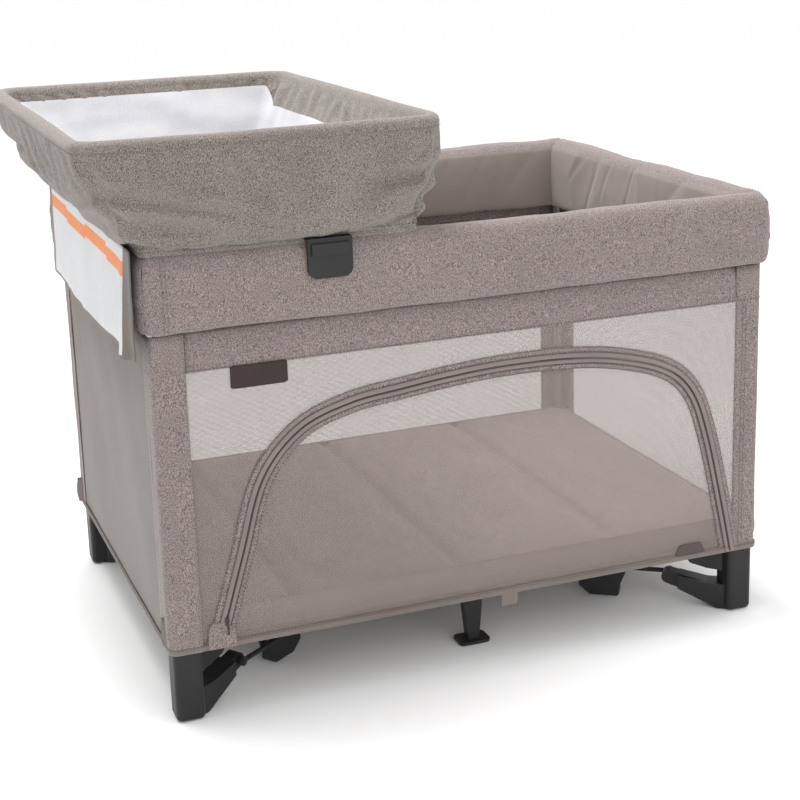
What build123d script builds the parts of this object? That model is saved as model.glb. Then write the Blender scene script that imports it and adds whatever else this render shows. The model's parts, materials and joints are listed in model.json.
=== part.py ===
"""Folding playpen with a lift-off changing tub; millimetres, Z up, origin on the floor under the hub."""

import os
from math import hypot

from build123d import *

os.makedirs("parts", exist_ok=True)

# Overall sizes
LENGTH = 1040.0  # outside of the fabric walls along X
DEPTH = 750.0  # outside of the fabric walls along Y
HEM_Z = 116.0  # bottom edge of the fabric walls
RAIL_BOTTOM_Z = 623.0  # bottom edge of the padded rail
RAIL_TOP_Z = 743.0  # top of the padded rail

# Frame tubes and their hinges
LEG_INSET = 18.0  # leg axis inside the outer face of the walls
LEG_R = 10.0
RAIL_R = 10.0
ARM_R = 8.0
OUTRIGGER_R = 7.0
TUBE_WALL = 1.5
TUBE_START = 15.0  # distance from a hinge pin to the round part of a tube
TONGUE_W = 10.0
TONGUE_R = 8.0
FORK_W = 22.0
FORK_R = 12.0
SLOT_W = 10.6
SLOT_R = 10.0
PIN_R = 4.0
RUNNING = 0.05  # radial clearance of a hinge
OPEN_PIVOT = 0.4  # radial clearance of the pivots where a closed linkage is opened
GAP = 0.5  # between neighbouring bodies

# Floor linkage, measured along the diagonal inwards from each leg axis
ARM_Z = 90.0
FINGER_D = 80.0
HUB_PIVOT_R = 55.0
KNEE_D = 190.0
ROD_DROP_D = 45.0
ROD_DROP_Z = 40.0
ROD_R = 4.0
ROD_SIDE = 18.0
ROD_EYE_W = 7.0
OUTRIGGER_Y = 70.0
OUTRIGGER_X = 17.0
OUTRIGGER_FOOT_Y = 285.0

OUTRIGGER_POST_T = 18.0
OUTRIGGER_TOP_W = 32.0
OUTRIGGER_LOW_W = 19.0
OUTRIGGER_TAPER_Z = 66.0  # the post is parallel above this height
OUTRIGGER_PAD_W = 55.0
OUTRIGGER_PAD_L = 40.0
OUTRIGGER_PAD_T = 6.0

# Floor shoes that hang from the arms
KNEE_FRONT_D = 22.0  # front face past the knee pivot
KNEE_BACK_D = 100.0  # back face past the knee pivot
KNEE_BOTTOM_Z = 7.0
KNEE_WALL = 2.0

# Feet and hub
COLUMN_W = 46.0
COLUMN_H = 117.0
COLUMN_FACE = 4.0  # column face inside the outer face of the walls
COLUMN_ROUND = 9.0
FOOT_ROUND = 8.0
HEEL_W = 36.0
HEEL_D = 108.0  # inner end of the foot's wide heel, from the leg axis
FORK_START = 15.0  # the foot's fingers start this far in from the leg axis
LEG_BASE_Z = 20.0
LEG_TOP_DROP = 4.0  # leg tube's top below the rail's axis
HUB_R = 40.0
HUB_BOTTOM_Z = 66.0
HUB_TOP_Z = 113.0
HUB_ROUND = 5.0
HUB_PAD_R = 37.0
HUB_STEM_R = 28.0
HUB_PAD_T = 9.0
STRAP_LENGTH = 160.0
STRAP_W = 25.0
STRAP_T = 2.0

# Top rails
RAIL_Z = 712.0
RAIL_INSET_X = 55.0
RAIL_INSET_Y = 30.0
SLEEVE_R = 14.0
SLEEVE_DROP = 22.0  # sleeve's lower end below the rail's axis
COVER_OUT = 15.0  # how far the padded rail stands out past the walls
COVER_W = 50.0
COVER_OUTER_PAD = 10.0
COVER_INNER_PAD = 3.0
COVER_TOP_PAD = 8.0
COVER_ROUND = 14.0

# Fabric walls, door and floor
WALL_T = 3.0
ZIP_W = 14.0
ZIP_T = 1.5
DOOR_GAP = 1.0
DOOR_BASE_Z = 130.0
DOOR_LEFT = 442.0  # arch's left foot, left of the middle
DOOR_RIGHT = 465.0  # arch's right foot, right of the middle
DOOR_CROWN_Z = 500.0
SLIDER_RISE = 24.0  # zip slider above the door's foot
WALL_TOP_GAP = 1.5  # wall's top edge below the padded rail
FLOOR_T = 2.5
FLOOR_RISE = 2.0  # floor above the hem
FLOOR_CUT = 52.0
MATTRESS_BOTTOM_Z = 124.0
MATTRESS_TOP_Z = 176.0
MATTRESS_EDGE_X = 15.0  # mattress edge inside the outer face of the walls
MATTRESS_EDGE_Y = 25.0
MATTRESS_CUT = 34.0
MATTRESS_ROUND = 10.0

# Changing tub
TUB_LEFT_OUT = 105.0  # rim past the left wall
TUB_RIM_LENGTH = 575.0
TUB_RIM_Z = 905.0  # height of the rim's centre line
TUB_RIM_ROUND = 40.0  # plan radius of the rim's corners
TUB_BASE_ROUND = 30.0  # plan radius of the base loop's corners
TUB_SIDE_OUT = 45.0  # rim past the front and back walls
TUB_ROLL_R = 18.0
TUB_TUBE_R = 8.0
TUB_BASE_R = 6.0
TUB_STRUT_R = 4.0
TUB_SKIRT_T = 3.0
TUB_LINER_T = 5.0
TUB_FLOOR_T = 18.0
TUB_SKIRT_LEFT = 5.0  # skirt's lower edge past the left wall
TUB_SKIRT_LENGTH = 427.0
TUB_SKIRT_SIDE = 5.0  # skirt's lower edge past the front and back walls
TUB_SKIRT_RISE = 5.0  # skirt's lower edge above the padded rail
TUB_BASE_RISE = 1.0  # base loop above the padded rail
TUB_STRUT_SHARE = 0.75  # struts stand at this share of the base loop's half length
CLIP_X = 275.0  # centre of the rail clips from the left wall
CLIP_W = 70.0
CLIP_DROP = 57.0
CLIP_T = 7.0
CLIP_ROUND = 14.0
CLIP_PLATE_T = 3.0
CLIP_LEDGE_H = 18.0
CLIP_LEDGE_OUT = 4.0
FLAP_LENGTH = 690.0
FLAP_Y = -37.0  # middle of the flap
FLAP_DROP = 155.0  # flap's lower edge below the top of the padded rail
FLAP_T = 3.0
FLAP_GAP = 3.0  # flap outside the padded rail

# Worked out from the sizes above
HALF_X = LENGTH / 2
HALF_Y = DEPTH / 2
LEG_X = HALF_X - LEG_INSET
LEG_Y = HALF_Y - LEG_INSET
DIAGONAL = hypot(LEG_X, LEG_Y)
UNIT_X = LEG_X / DIAGONAL
UNIT_Y = LEG_Y / DIAGONAL
ARM_LENGTH = DIAGONAL - FINGER_D - HUB_PIVOT_R
HUB_D = DIAGONAL - HUB_PIVOT_R
ROD_Z = ARM_Z - ROD_DROP_Z
UP = Vector(0, 0, 1)
CORNERS = {"fl": (-1, -1), "fr": (1, -1), "br": (1, 1), "bl": (-1, 1)}
SIDES = {"front": ("fl", "fr"), "right": ("fr", "br"), "back": ("br", "bl"), "left": ("bl", "fl")}
# The frame folds exactly when each rail half covers its own share of an arm's length
HALF_RAIL = {"x": ARM_LENGTH * UNIT_X, "y": ARM_LENGTH * UNIT_Y}
RAIL_INSET = {"x": RAIL_INSET_X, "y": RAIL_INSET_Y}
SPAN = {"x": 2 * LEG_X, "y": 2 * LEG_Y}


def save(piece, name):
    """Label a finished piece and write its STEP file."""
    piece.part.label = name
    export_step(piece.part, f"parts/{name}.step")


def standing_plane(origin, inward, side=0.0):
    """A vertical plane whose x runs along inward and whose y is height."""
    across = inward.cross(UP)
    return Plane(origin=origin + across * side, x_dir=inward, z_dir=across)


def leg_plane(corner, side=0.0):
    """The vertical plane from a leg's axis towards the hub."""
    sx, sy = CORNERS[corner]
    return standing_plane(Vector(sx * LEG_X, sy * LEG_Y, 0), Vector(-sx * UNIT_X, -sy * UNIT_Y, 0), side)


def rail_axis(corner, other):
    """The axis, x or y, along which two neighbouring corners are joined."""
    return "x" if CORNERS[corner][1] == CORNERS[other][1] else "y"


def rail_plane(corner, other):
    """The vertical plane from a leg's axis towards a neighbouring leg."""
    sx, sy = CORNERS[corner]
    inward = Vector(-sx, 0, 0) if rail_axis(corner, other) == "x" else Vector(0, -sy, 0)
    return standing_plane(Vector(sx * LEG_X, sy * LEG_Y, 0), inward)


def outline(plane, points, rounds=()):
    """A closed outline on a plane, with a round at each (x, y, radius)."""
    with BuildSketch(plane) as shape:
        with BuildLine():
            Polyline(*points, close=True)
        make_face()
        for x, y, radius in rounds:
            with Locations((x, y)):
                Circle(radius)
    return shape.sketch


def disc(plane, x, y, radius, hole=0.0):
    """A disc on a plane, or a ring when it has a hole."""
    with BuildSketch(plane) as shape:
        with Locations((x, y)):
            Circle(radius)
            if hole:
                Circle(hole, mode=Mode.SUBTRACT)
    return shape.sketch


def strip(plane, x0, x1, y0, y1):
    """An upright rectangle on a plane."""
    return outline(plane, [(x0, y0), (x1, y0), (x1, y1), (x0, y1)])


def tube_ring(plane, x, y, radius):
    """The section of a tube that runs along the x of a standing plane."""
    origin = plane.from_local_coords(Vector(x, y, 0))
    return disc(Plane(origin=origin, z_dir=plane.x_dir), 0, 0, radius, radius - TUBE_WALL)


def tongued_tube(plane, start, end, height, radius):
    """A tube between two hinge pins, with a flat drilled tongue in each end."""
    tongue = min(TONGUE_R, radius)
    with BuildPart() as piece:
        extrude(tube_ring(plane, start + TUBE_START, height, radius), amount=end - start - 2 * TUBE_START)
        for pin, into in ((start, 2 * TUBE_START), (end, -2 * TUBE_START)):
            flat = strip(plane, pin, pin + into, height - tongue, height + tongue)
            extrude(flat, amount=TONGUE_W / 2, both=True)
            extrude(disc(plane, pin, height, tongue), amount=TONGUE_W / 2, both=True)
        for pin in (start, end):
            bore = disc(plane, pin, height, PIN_R + RUNNING)
            extrude(bore, amount=TONGUE_W, both=True, mode=Mode.SUBTRACT)
    return piece


# ---------------------------------------------------------------- hub and floor linkage


def make_hub_housing():
    """The centre casting: a drum with a fork for each arm and outrigger."""
    with BuildPart() as piece:
        with BuildSketch(Plane.XY.offset(HUB_BOTTOM_Z)):
            Circle(HUB_R)
        extrude(amount=HUB_TOP_Z - HUB_BOTTOM_Z)
        fillet(piece.edges().group_by(Axis.Z)[-1], HUB_ROUND)
        for plane, pivot in hub_forks():
            root = pivot - HUB_R if pivot > HUB_R else 0
            arm = [(pivot, ARM_Z - FORK_R), (pivot, ARM_Z + FORK_R)]
            back = [(root, ARM_Z + FORK_R), (root, ARM_Z - FORK_R)]
            extrude(outline(plane, arm + back, [(pivot, ARM_Z, FORK_R)]), amount=FORK_W / 2, both=True)
        for plane, pivot in hub_forks():
            slot = strip(plane, pivot - SLOT_R, pivot + 2 * FORK_R, 0, HUB_TOP_Z + FORK_R)
            extrude(slot, amount=SLOT_W / 2, both=True, mode=Mode.SUBTRACT)
            bore = disc(plane, pivot, ARM_Z, PIN_R + RUNNING)
            extrude(bore, amount=FORK_W, both=True, mode=Mode.SUBTRACT)
    save(piece, "hub_housing")


def hub_forks():
    """The plane and the pivot's distance from the hub axis, for each arm and outrigger."""
    forks = []
    for sx, sy in CORNERS.values():
        forks.append((standing_plane(Vector(0, 0, 0), Vector(sx * UNIT_X, sy * UNIT_Y, 0)), HUB_PIVOT_R))
    for sy in (-1, 1):
        forks.append((outrigger_plane(sy), OUTRIGGER_Y))
    return forks


def outrigger_plane(sy):
    """The vertical plane of an outrigger, from the middle of the playpen outwards."""
    return standing_plane(Vector(-sy * OUTRIGGER_X, 0, 0), Vector(0, sy, 0))


def make_hub_foot():
    """The centre foot, a stem with a wide pad on the floor."""
    edge = HUB_PAD_T / 3
    with BuildPart() as piece:
        with BuildSketch(Plane.XZ):
            with BuildLine():
                Polyline(
                    (0, 0),
                    (HUB_PAD_R - edge, 0),
                    (HUB_PAD_R, edge),
                    (HUB_PAD_R, HUB_PAD_T),
                    (HUB_STEM_R, 2 * HUB_PAD_T),
                    (HUB_STEM_R, HUB_BOTTOM_Z),
                    (0, HUB_BOTTOM_Z),
                    close=True,
                )
            make_face()
        revolve(axis=Axis.Z)
    save(piece, "hub_foot")


def make_hub_pins():
    """The six hinge pins of the hub, as one group."""
    with BuildPart() as piece:
        for plane, pivot in hub_forks():
            extrude(disc(plane, pivot, ARM_Z, PIN_R), amount=FORK_W / 2, both=True)
    save(piece, "hub_pins")


def make_pull_strap():
    """The webbing loop on the hub that pulls the floor up."""
    with BuildPart() as piece:
        with BuildSketch(Plane.XY.offset(HUB_TOP_Z + GAP)):
            RectangleRounded(STRAP_LENGTH, STRAP_W, STRAP_W / 4)
        extrude(amount=STRAP_T)
    save(piece, "pull_strap")


def make_arm(corner):
    """A floor arm from the foot's finger to the hub, with the pin that carries the knee."""
    plane = leg_plane(corner)
    piece = tongued_tube(plane, FINGER_D, HUB_D, ARM_Z, ARM_R)
    with piece:
        extrude(disc(plane, KNEE_D, ARM_Z, PIN_R), amount=FORK_W / 2 + 2, both=True)
    save(piece, f"arm_{corner}")


def make_knee(corner):
    """The floor shoe that hangs from an arm and stays level as the arm swings."""
    plane = leg_plane(corner)
    front = KNEE_D + KNEE_FRONT_D
    back = KNEE_D + KNEE_BACK_D
    sole_back = back - KNEE_FRONT_D - 4
    shelf = ARM_Z - ARM_R - 2 * KNEE_WALL
    width = FORK_W + 2 * KNEE_WALL
    pin_d = KNEE_D + ROD_DROP_D
    side = [(KNEE_D, ARM_Z - FORK_R), (front, ROD_Z / 2), (front, KNEE_BOTTOM_Z + 4)]
    side += [(front + 4, KNEE_BOTTOM_Z), (sole_back, KNEE_BOTTOM_Z), (back - 6, KNEE_BOTTOM_Z + 16)]
    side += [(back, ARM_Z - FORK_R), (back, ARM_Z), (back - 8, ARM_Z + ARM_R), (KNEE_D, ARM_Z + FORK_R)]
    with BuildPart() as piece:
        extrude(outline(plane, side, [(KNEE_D, ARM_Z, FORK_R)]), amount=width / 2, both=True)
        for x0, x1, z0 in ((KNEE_D - 2 * FORK_R, front, 0), (front - 1, back + 1, shelf)):
            throat = strip(plane, x0, x1, z0, ARM_Z + 2 * FORK_R)
            extrude(throat, amount=ARM_R + 1, both=True, mode=Mode.SUBTRACT)
        bore = disc(plane, KNEE_D, ARM_Z, PIN_R + RUNNING)
        extrude(bore, amount=width, both=True, mode=Mode.SUBTRACT)
        pin = disc(leg_plane(corner, ARM_R + KNEE_WALL), pin_d, ROD_Z, PIN_R)
        extrude(pin, amount=ROD_SIDE + ROD_EYE_W / 2 + KNEE_WALL - (ARM_R + KNEE_WALL))
    save(piece, f"knee_{corner}")


def make_rod(corner):
    """The link beside the arm that keeps a knee shoe level."""
    plane = leg_plane(corner, ROD_SIDE)
    start = FINGER_D + ROD_DROP_D
    end = KNEE_D + ROD_DROP_D
    with BuildPart() as piece:
        bar = strip(plane, start, end, ROD_Z - ROD_R, ROD_Z + ROD_R)
        extrude(bar, amount=ROD_EYE_W / 2, both=True)
        fillet(piece.edges().filter_by(Axis((0, 0, 0), plane.x_dir)), ROD_R - 1)
        for pin in (start, end):
            extrude(disc(plane, pin, ROD_Z, 2 * PIN_R), amount=ROD_EYE_W / 2, both=True)
        for pin, clearance in ((start, RUNNING), (end, OPEN_PIVOT)):
            bore = disc(plane, pin, ROD_Z, PIN_R + clearance)
            extrude(bore, amount=ROD_EYE_W, both=True, mode=Mode.SUBTRACT)
    save(piece, f"rod_{corner}")


def make_outrigger(name, sy):
    """A side arm of the hub with its T-shaped floor foot."""
    plane = outrigger_plane(sy)
    foot_x, foot_y = -sy * OUTRIGGER_X, sy * OUTRIGGER_FOOT_Y
    top = ARM_Z + OUTRIGGER_R + 1
    with BuildPart() as piece:
        length = OUTRIGGER_FOOT_Y - OUTRIGGER_Y - TUBE_START
        extrude(tube_ring(plane, OUTRIGGER_Y + TUBE_START, ARM_Z, OUTRIGGER_R), amount=length)
        flat_end = OUTRIGGER_Y + 2 * TUBE_START
        flat = strip(plane, OUTRIGGER_Y, flat_end, ARM_Z - OUTRIGGER_R, ARM_Z + OUTRIGGER_R)
        extrude(flat, amount=TONGUE_W / 2, both=True)
        extrude(disc(plane, OUTRIGGER_Y, ARM_Z, OUTRIGGER_R), amount=TONGUE_W / 2, both=True)
        bore = disc(plane, OUTRIGGER_Y, ARM_Z, PIN_R + RUNNING)
        extrude(bore, amount=TONGUE_W, both=True, mode=Mode.SUBTRACT)
        face = Plane(origin=(foot_x, foot_y, 0), x_dir=(1, 0, 0), z_dir=(0, -1, 0))
        right = [(OUTRIGGER_LOW_W / 2, OUTRIGGER_PAD_T / 2), (OUTRIGGER_TOP_W / 2, OUTRIGGER_TAPER_Z)]
        right += [(OUTRIGGER_TOP_W / 2, top)]
        left = [(-x, z) for x, z in reversed(right)]
        extrude(outline(face, right + left), amount=OUTRIGGER_POST_T / 2, both=True)
        with BuildSketch(Plane.XY):
            with Locations((foot_x, foot_y)):
                RectangleRounded(OUTRIGGER_PAD_W, OUTRIGGER_PAD_L, OUTRIGGER_PAD_L / 5)
        extrude(amount=OUTRIGGER_PAD_T)
        chamfer(piece.edges().group_by(Axis.Z)[0], OUTRIGGER_PAD_T / 6)
    save(piece, f"outrigger_{name}")


# ---------------------------------------------------------------- legs and top rails


def make_leg_tube(corner):
    """A round leg tube from the foot to the corner bracket."""
    sx, sy = CORNERS[corner]
    with BuildPart() as piece:
        with BuildSketch(Plane.XY.offset(LEG_BASE_Z)):
            with Locations((sx * LEG_X, sy * LEG_Y)):
                Circle(LEG_R)
                Circle(LEG_R - TUBE_WALL, mode=Mode.SUBTRACT)
        extrude(amount=RAIL_Z - LEG_TOP_DROP - LEG_BASE_Z)
    save(piece, f"leg_tube_{corner}")


def make_foot(corner):
    """A corner foot: a column round the leg, a forked finger for the arm, a heel for the rod."""
    sx, sy = CORNERS[corner]
    plane = leg_plane(corner)
    column_x = sx * (HALF_X - COLUMN_FACE - COLUMN_W / 2)
    column_y = sy * (HALF_Y - COLUMN_FACE - COLUMN_W / 2)
    rod_d = FINGER_D + ROD_DROP_D
    notch_z = ROD_Z - ROD_R
    notch_d = FINGER_D - FORK_W
    finger = [(FORK_START, ARM_Z - FORK_W), (notch_d, ARM_Z - FORK_W + ROD_R), (FINGER_D, ARM_Z - FORK_R)]
    finger += [(FINGER_D, ARM_Z + FORK_R), (FORK_START, ARM_Z + FORK_R)]
    heel = [(FORK_START, 0), (COLUMN_W - FOOT_ROUND, 0), (HEEL_D, ROD_Z - 1.5 * FORK_R)]
    heel += [(HEEL_D, ROD_Z + FORK_R / 2), (notch_d, notch_z), (FORK_START, notch_z)]
    toe = [(notch_d, notch_z - FORK_R), (HEEL_D, ROD_Z - 1.5 * FORK_R), (rod_d + 5, ROD_Z - FORK_R + 1)]
    toe += [(rod_d, ROD_Z + FORK_R), (notch_d, notch_z)]
    with BuildPart() as piece:
        with BuildSketch(Plane.XY):
            with Locations((column_x, column_y)):
                RectangleRounded(COLUMN_W, COLUMN_W, COLUMN_ROUND)
        extrude(amount=COLUMN_H)
        fillet(piece.edges().group_by(Axis.Z)[0], FOOT_ROUND)
        extrude(outline(plane, finger, [(FINGER_D, ARM_Z, FORK_R)]), amount=FORK_W / 2, both=True)
        extrude(outline(plane, heel), amount=HEEL_W / 2, both=True)
        extrude(outline(plane, toe, [(rod_d, ROD_Z, FORK_R)]), amount=FORK_W / 2, both=True)
        slot = strip(plane, FINGER_D - SLOT_R, FINGER_D + 2 * FORK_R, ARM_Z - 2 * ARM_R, ARM_Z + 2 * FORK_R)
        extrude(slot, amount=SLOT_W / 2, both=True, mode=Mode.SUBTRACT)
        extrude(disc(plane, FINGER_D, ARM_Z, PIN_R), amount=FORK_W / 2 + 2, both=True)
        rod_pin = disc(leg_plane(corner, FORK_W / 4), rod_d, ROD_Z, PIN_R)
        extrude(rod_pin, amount=ROD_SIDE + ROD_EYE_W / 2 + 2 - FORK_W / 4)
        with BuildSketch(Plane.XY.offset(LEG_BASE_Z)):
            with Locations((sx * LEG_X, sy * LEG_Y)):
                Circle(LEG_R + RUNNING)
        extrude(amount=COLUMN_H, mode=Mode.SUBTRACT)
    save(piece, f"foot_{corner}")


def make_corner_bracket(corner):
    """The bracket on top of a leg, with a fork for each of the two rails that meet there."""
    sx, sy = CORNERS[corner]
    bottom = RAIL_Z - SLEEVE_DROP
    with BuildPart() as piece:
        with BuildSketch(Plane.XY.offset(bottom)):
            with Locations((sx * LEG_X, sy * LEG_Y)):
                Circle(SLEEVE_R)
        extrude(amount=SLEEVE_DROP + FORK_R)
        for other in neighbours(corner):
            plane = rail_plane(corner, other)
            inset = RAIL_INSET[rail_axis(corner, other)]
            bar = strip(plane, 0, inset, RAIL_Z - FORK_R, RAIL_Z + FORK_R)
            extrude(bar, amount=FORK_W / 2, both=True)
            extrude(disc(plane, inset, RAIL_Z, FORK_R), amount=FORK_W / 2, both=True)
        for other in neighbours(corner):
            plane = rail_plane(corner, other)
            inset = RAIL_INSET[rail_axis(corner, other)]
            slot = strip(plane, inset - SLOT_R, inset + 2 * FORK_R, RAIL_Z - 2 * FORK_R, RAIL_Z + 2 * FORK_R)
            extrude(slot, amount=SLOT_W / 2, both=True, mode=Mode.SUBTRACT)
            extrude(disc(plane, inset, RAIL_Z, PIN_R), amount=FORK_W / 2, both=True)
        with BuildSketch(Plane.XY.offset(bottom - GAP)):
            with Locations((sx * LEG_X, sy * LEG_Y)):
                Circle(LEG_R + RUNNING)
        extrude(amount=SLEEVE_DROP - LEG_TOP_DROP + GAP, mode=Mode.SUBTRACT)
    save(piece, f"corner_bracket_{corner}")


def neighbours(corner):
    """The two corners that share a side with this one."""
    return [b if a == corner else a for a, b in SIDES.values() if corner in (a, b)]


def make_rail_half(side, corner, other):
    """One half of a top rail, from its corner bracket to the middle joint."""
    axis = rail_axis(corner, other)
    start = RAIL_INSET[axis]
    piece = tongued_tube(rail_plane(corner, other), start, start + HALF_RAIL[axis], RAIL_Z, RAIL_R)
    save(piece, f"rail_{side}_{corner}")


def make_middle_joint(side):
    """The locking joint between a rail's two halves; its second pivot is the open one."""
    corner, other = SIDES[side]
    axis = rail_axis(corner, other)
    plane = rail_plane(corner, other)
    near = RAIL_INSET[axis] + HALF_RAIL[axis]
    far = SPAN[axis] - near
    with BuildPart() as piece:
        body = strip(plane, near, far, RAIL_Z - FORK_R, RAIL_Z + FORK_R)
        extrude(body, amount=FORK_W / 2, both=True)
        for pivot, into in ((near, 1), (far, -1)):
            extrude(disc(plane, pivot, RAIL_Z, FORK_R), amount=FORK_W / 2, both=True)
            slot = strip(plane, pivot - into * 2 * FORK_R, pivot + into * SLOT_R, 0, RAIL_Z + 2 * FORK_R)
            extrude(slot, amount=SLOT_W / 2, both=True, mode=Mode.SUBTRACT)
        extrude(disc(plane, near, RAIL_Z, PIN_R), amount=FORK_W / 2, both=True)
        extrude(disc(plane, far, RAIL_Z, PIN_R - OPEN_PIVOT), amount=FORK_W / 2, both=True)
    save(piece, f"middle_joint_{side}")


# ---------------------------------------------------------------- padded rail, walls and door


def side_frame(side):
    """Half length of a side, half distance to the opposite side, and the side's own plan plane."""
    normals = {"front": (0, -1), "right": (1, 0), "back": (0, 1), "left": (-1, 0)}
    nx, ny = normals[side]
    long_half = HALF_X if ny else HALF_Y
    out_half = HALF_Y if ny else HALF_X
    plan = Plane(origin=(0, 0, 0), x_dir=(-ny, nx, 0), z_dir=(0, 0, 1))
    return long_half, out_half, plan


def mitred(plan, height, long_half, out_half, outer, inner):
    """A plan outline between two offsets from the walls, mitred at both corners."""
    points = []
    for end, offset in ((-1, outer), (1, outer), (1, inner), (-1, inner)):
        points.append((end * (long_half + offset - GAP / 2), -(out_half + offset)))
    return outline(plan.offset(height), points)


def make_rail_cover(side):
    """The padded cover of a top rail, open below, mitred at the corners."""
    long_half, out_half, plan = side_frame(side)
    outer = COVER_OUT
    inner = COVER_OUT - COVER_W
    with BuildPart() as piece:
        block = mitred(plan, RAIL_BOTTOM_Z, long_half, out_half, outer, inner)
        extrude(block, amount=RAIL_TOP_Z - RAIL_BOTTOM_Z)
        top = piece.faces().sort_by(Axis.Z)[-1]
        long_edges = top.edges().filter_by(Axis((0, 0, 0), plan.x_dir))
        fillet(long_edges, COVER_ROUND)
        hollow = mitred(
            plan, RAIL_BOTTOM_Z, long_half, out_half, outer - COVER_OUTER_PAD, inner + COVER_INNER_PAD
        )
        height = RAIL_TOP_Z - COVER_TOP_PAD - RAIL_BOTTOM_Z
        extrude(hollow, amount=height, mode=Mode.SUBTRACT)
    save(piece, f"rail_cover_{side}")


def door_outline(extra=0.0):
    """The arched door, wider than the zip's inner edge by extra on the arch."""
    rise = DOOR_CROWN_Z - DOOR_BASE_Z
    plane = Plane(origin=(0, -HALF_Y, 0), x_dir=(1, 0, 0), z_dir=(0, -1, 0))
    with BuildSketch(plane) as shape:
        with BuildLine():
            arch = Spline(
                (-DOOR_LEFT - extra, DOOR_BASE_Z),
                (-0.70 * DOOR_LEFT - extra, DOOR_BASE_Z + 0.57 * rise),
                (-0.62 * DOOR_LEFT - 0.6 * extra, DOOR_BASE_Z + 0.90 * rise + 0.8 * extra),
                (-0.11 * DOOR_LEFT, DOOR_CROWN_Z + extra),
                (0.60 * DOOR_RIGHT + 0.3 * extra, DOOR_BASE_Z + 0.965 * rise + extra),
                (0.88 * DOOR_RIGHT + extra, DOOR_BASE_Z + 0.72 * rise),
                (DOOR_RIGHT + extra, DOOR_BASE_Z),
            )
            Line(arch @ 1, arch @ 0)
        make_face()
    return shape.sketch


def make_wall(side, name):
    """A flat fabric wall between the hem and the padded rail; the front one has the doorway."""
    long_half, out_half, _ = side_frame(side)
    across = WALL_T if side in ("left", "right") else 0
    half = long_half - (across + GAP if across else 0)
    top = RAIL_BOTTOM_Z - WALL_TOP_GAP
    size = (WALL_T, 2 * half) if across else (2 * half, WALL_T)
    signs = {"front": (0, -1), "right": (1, 0), "back": (0, 1), "left": (-1, 0)}
    nx, ny = signs[side]
    reach = out_half - WALL_T / 2
    with BuildPart() as piece:
        with BuildSketch(Plane.XY.offset(HEM_Z)):
            with Locations((nx * reach, ny * reach)):
                Rectangle(*size)
        extrude(amount=top - HEM_Z)
        if side == "front":
            extrude(door_outline(), amount=2 * WALL_T, both=True, mode=Mode.SUBTRACT)
    save(piece, name)


def make_door_panel():
    """The door's own fabric panel, hinged along its bottom edge."""
    with BuildPart() as piece:
        extrude(door_outline(-DOOR_GAP), amount=-WALL_T)
        with BuildSketch(Plane.XY.offset(DOOR_BASE_Z - GAP)):
            with Locations((0, -HALF_Y)):
                Rectangle(LENGTH, 4 * WALL_T)
        extrude(amount=2 * GAP, mode=Mode.SUBTRACT)
    save(piece, "door_panel")


def make_zip_track():
    """The fixed half of the zip, a raised band round the doorway."""
    with BuildPart() as piece:
        extrude(door_outline(ZIP_W), amount=ZIP_T)
        extrude(door_outline(), amount=2 * ZIP_T, both=True, mode=Mode.SUBTRACT)
    save(piece, "zip_track")


def make_zip_slider():
    """The zip's slider and pull, parked at the lower left end of the zip."""
    body_w, body_h, body_t = 9.0, 14.0, 2.5
    foot_x = -DOOR_LEFT - ZIP_W - body_w - 1
    with BuildPart() as piece:
        origin = (foot_x, -HALF_Y - GAP, DOOR_BASE_Z + SLIDER_RISE)
        with BuildSketch(Plane(origin=origin, x_dir=(1, 0, 0), z_dir=(0, -1, 0))):
            RectangleRounded(body_w, body_h, body_w / 3)
            with Locations((0, -body_h)):
                SlotOverall(1.5 * body_h, 2 * body_w / 3, rotation=90)
        extrude(amount=body_t)
    save(piece, "zip_slider")


def make_floor_panel():
    """The woven floor between the walls, cut back round the legs."""
    edge = WALL_T + GAP
    with BuildPart() as piece:
        with BuildSketch(Plane.XY.offset(HEM_Z + FLOOR_RISE)):
            Rectangle(LENGTH - 2 * edge, DEPTH - 2 * edge)
            chamfer(vertices(), FLOOR_CUT)
        extrude(amount=FLOOR_T)
    save(piece, "floor_panel")


def make_mattress():
    """The loose mattress, with its corners cut round the legs."""
    with BuildPart() as piece:
        with BuildSketch(Plane.XY.offset(MATTRESS_BOTTOM_Z)):
            Rectangle(LENGTH - 2 * MATTRESS_EDGE_X, DEPTH - 2 * MATTRESS_EDGE_Y)
            chamfer(vertices(), MATTRESS_CUT)
        extrude(amount=MATTRESS_TOP_Z - MATTRESS_BOTTOM_Z)
        fillet(piece.edges().group_by(Axis.Z)[-1], MATTRESS_ROUND)
    save(piece, "mattress")


# ---------------------------------------------------------------- changing tub

TUB_LEFT = -HALF_X - TUB_LEFT_OUT + TUB_ROLL_R
TUB_RIGHT = TUB_LEFT + TUB_RIM_LENGTH - 2 * TUB_ROLL_R
TUB_CENTRE = (TUB_LEFT + TUB_RIGHT) / 2
TUB_RIM_Y = HALF_Y + TUB_SIDE_OUT - TUB_ROLL_R
SKIRT_LEFT = -HALF_X - TUB_SKIRT_LEFT
SKIRT_RIGHT = SKIRT_LEFT + TUB_SKIRT_LENGTH
SKIRT_Y = HALF_Y + TUB_SKIRT_SIDE
SKIRT_Z = RAIL_TOP_Z + TUB_SKIRT_RISE
BASE_Z = RAIL_TOP_Z + TUB_BASE_RISE + TUB_BASE_R
BASE_IN = TUB_SKIRT_T + TUB_BASE_R + 2.0  # base loop inside the skirt's lower edge
LINER_IN = BASE_IN + TUB_BASE_R + 3.0  # liner's floor inside the skirt's lower edge


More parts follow.
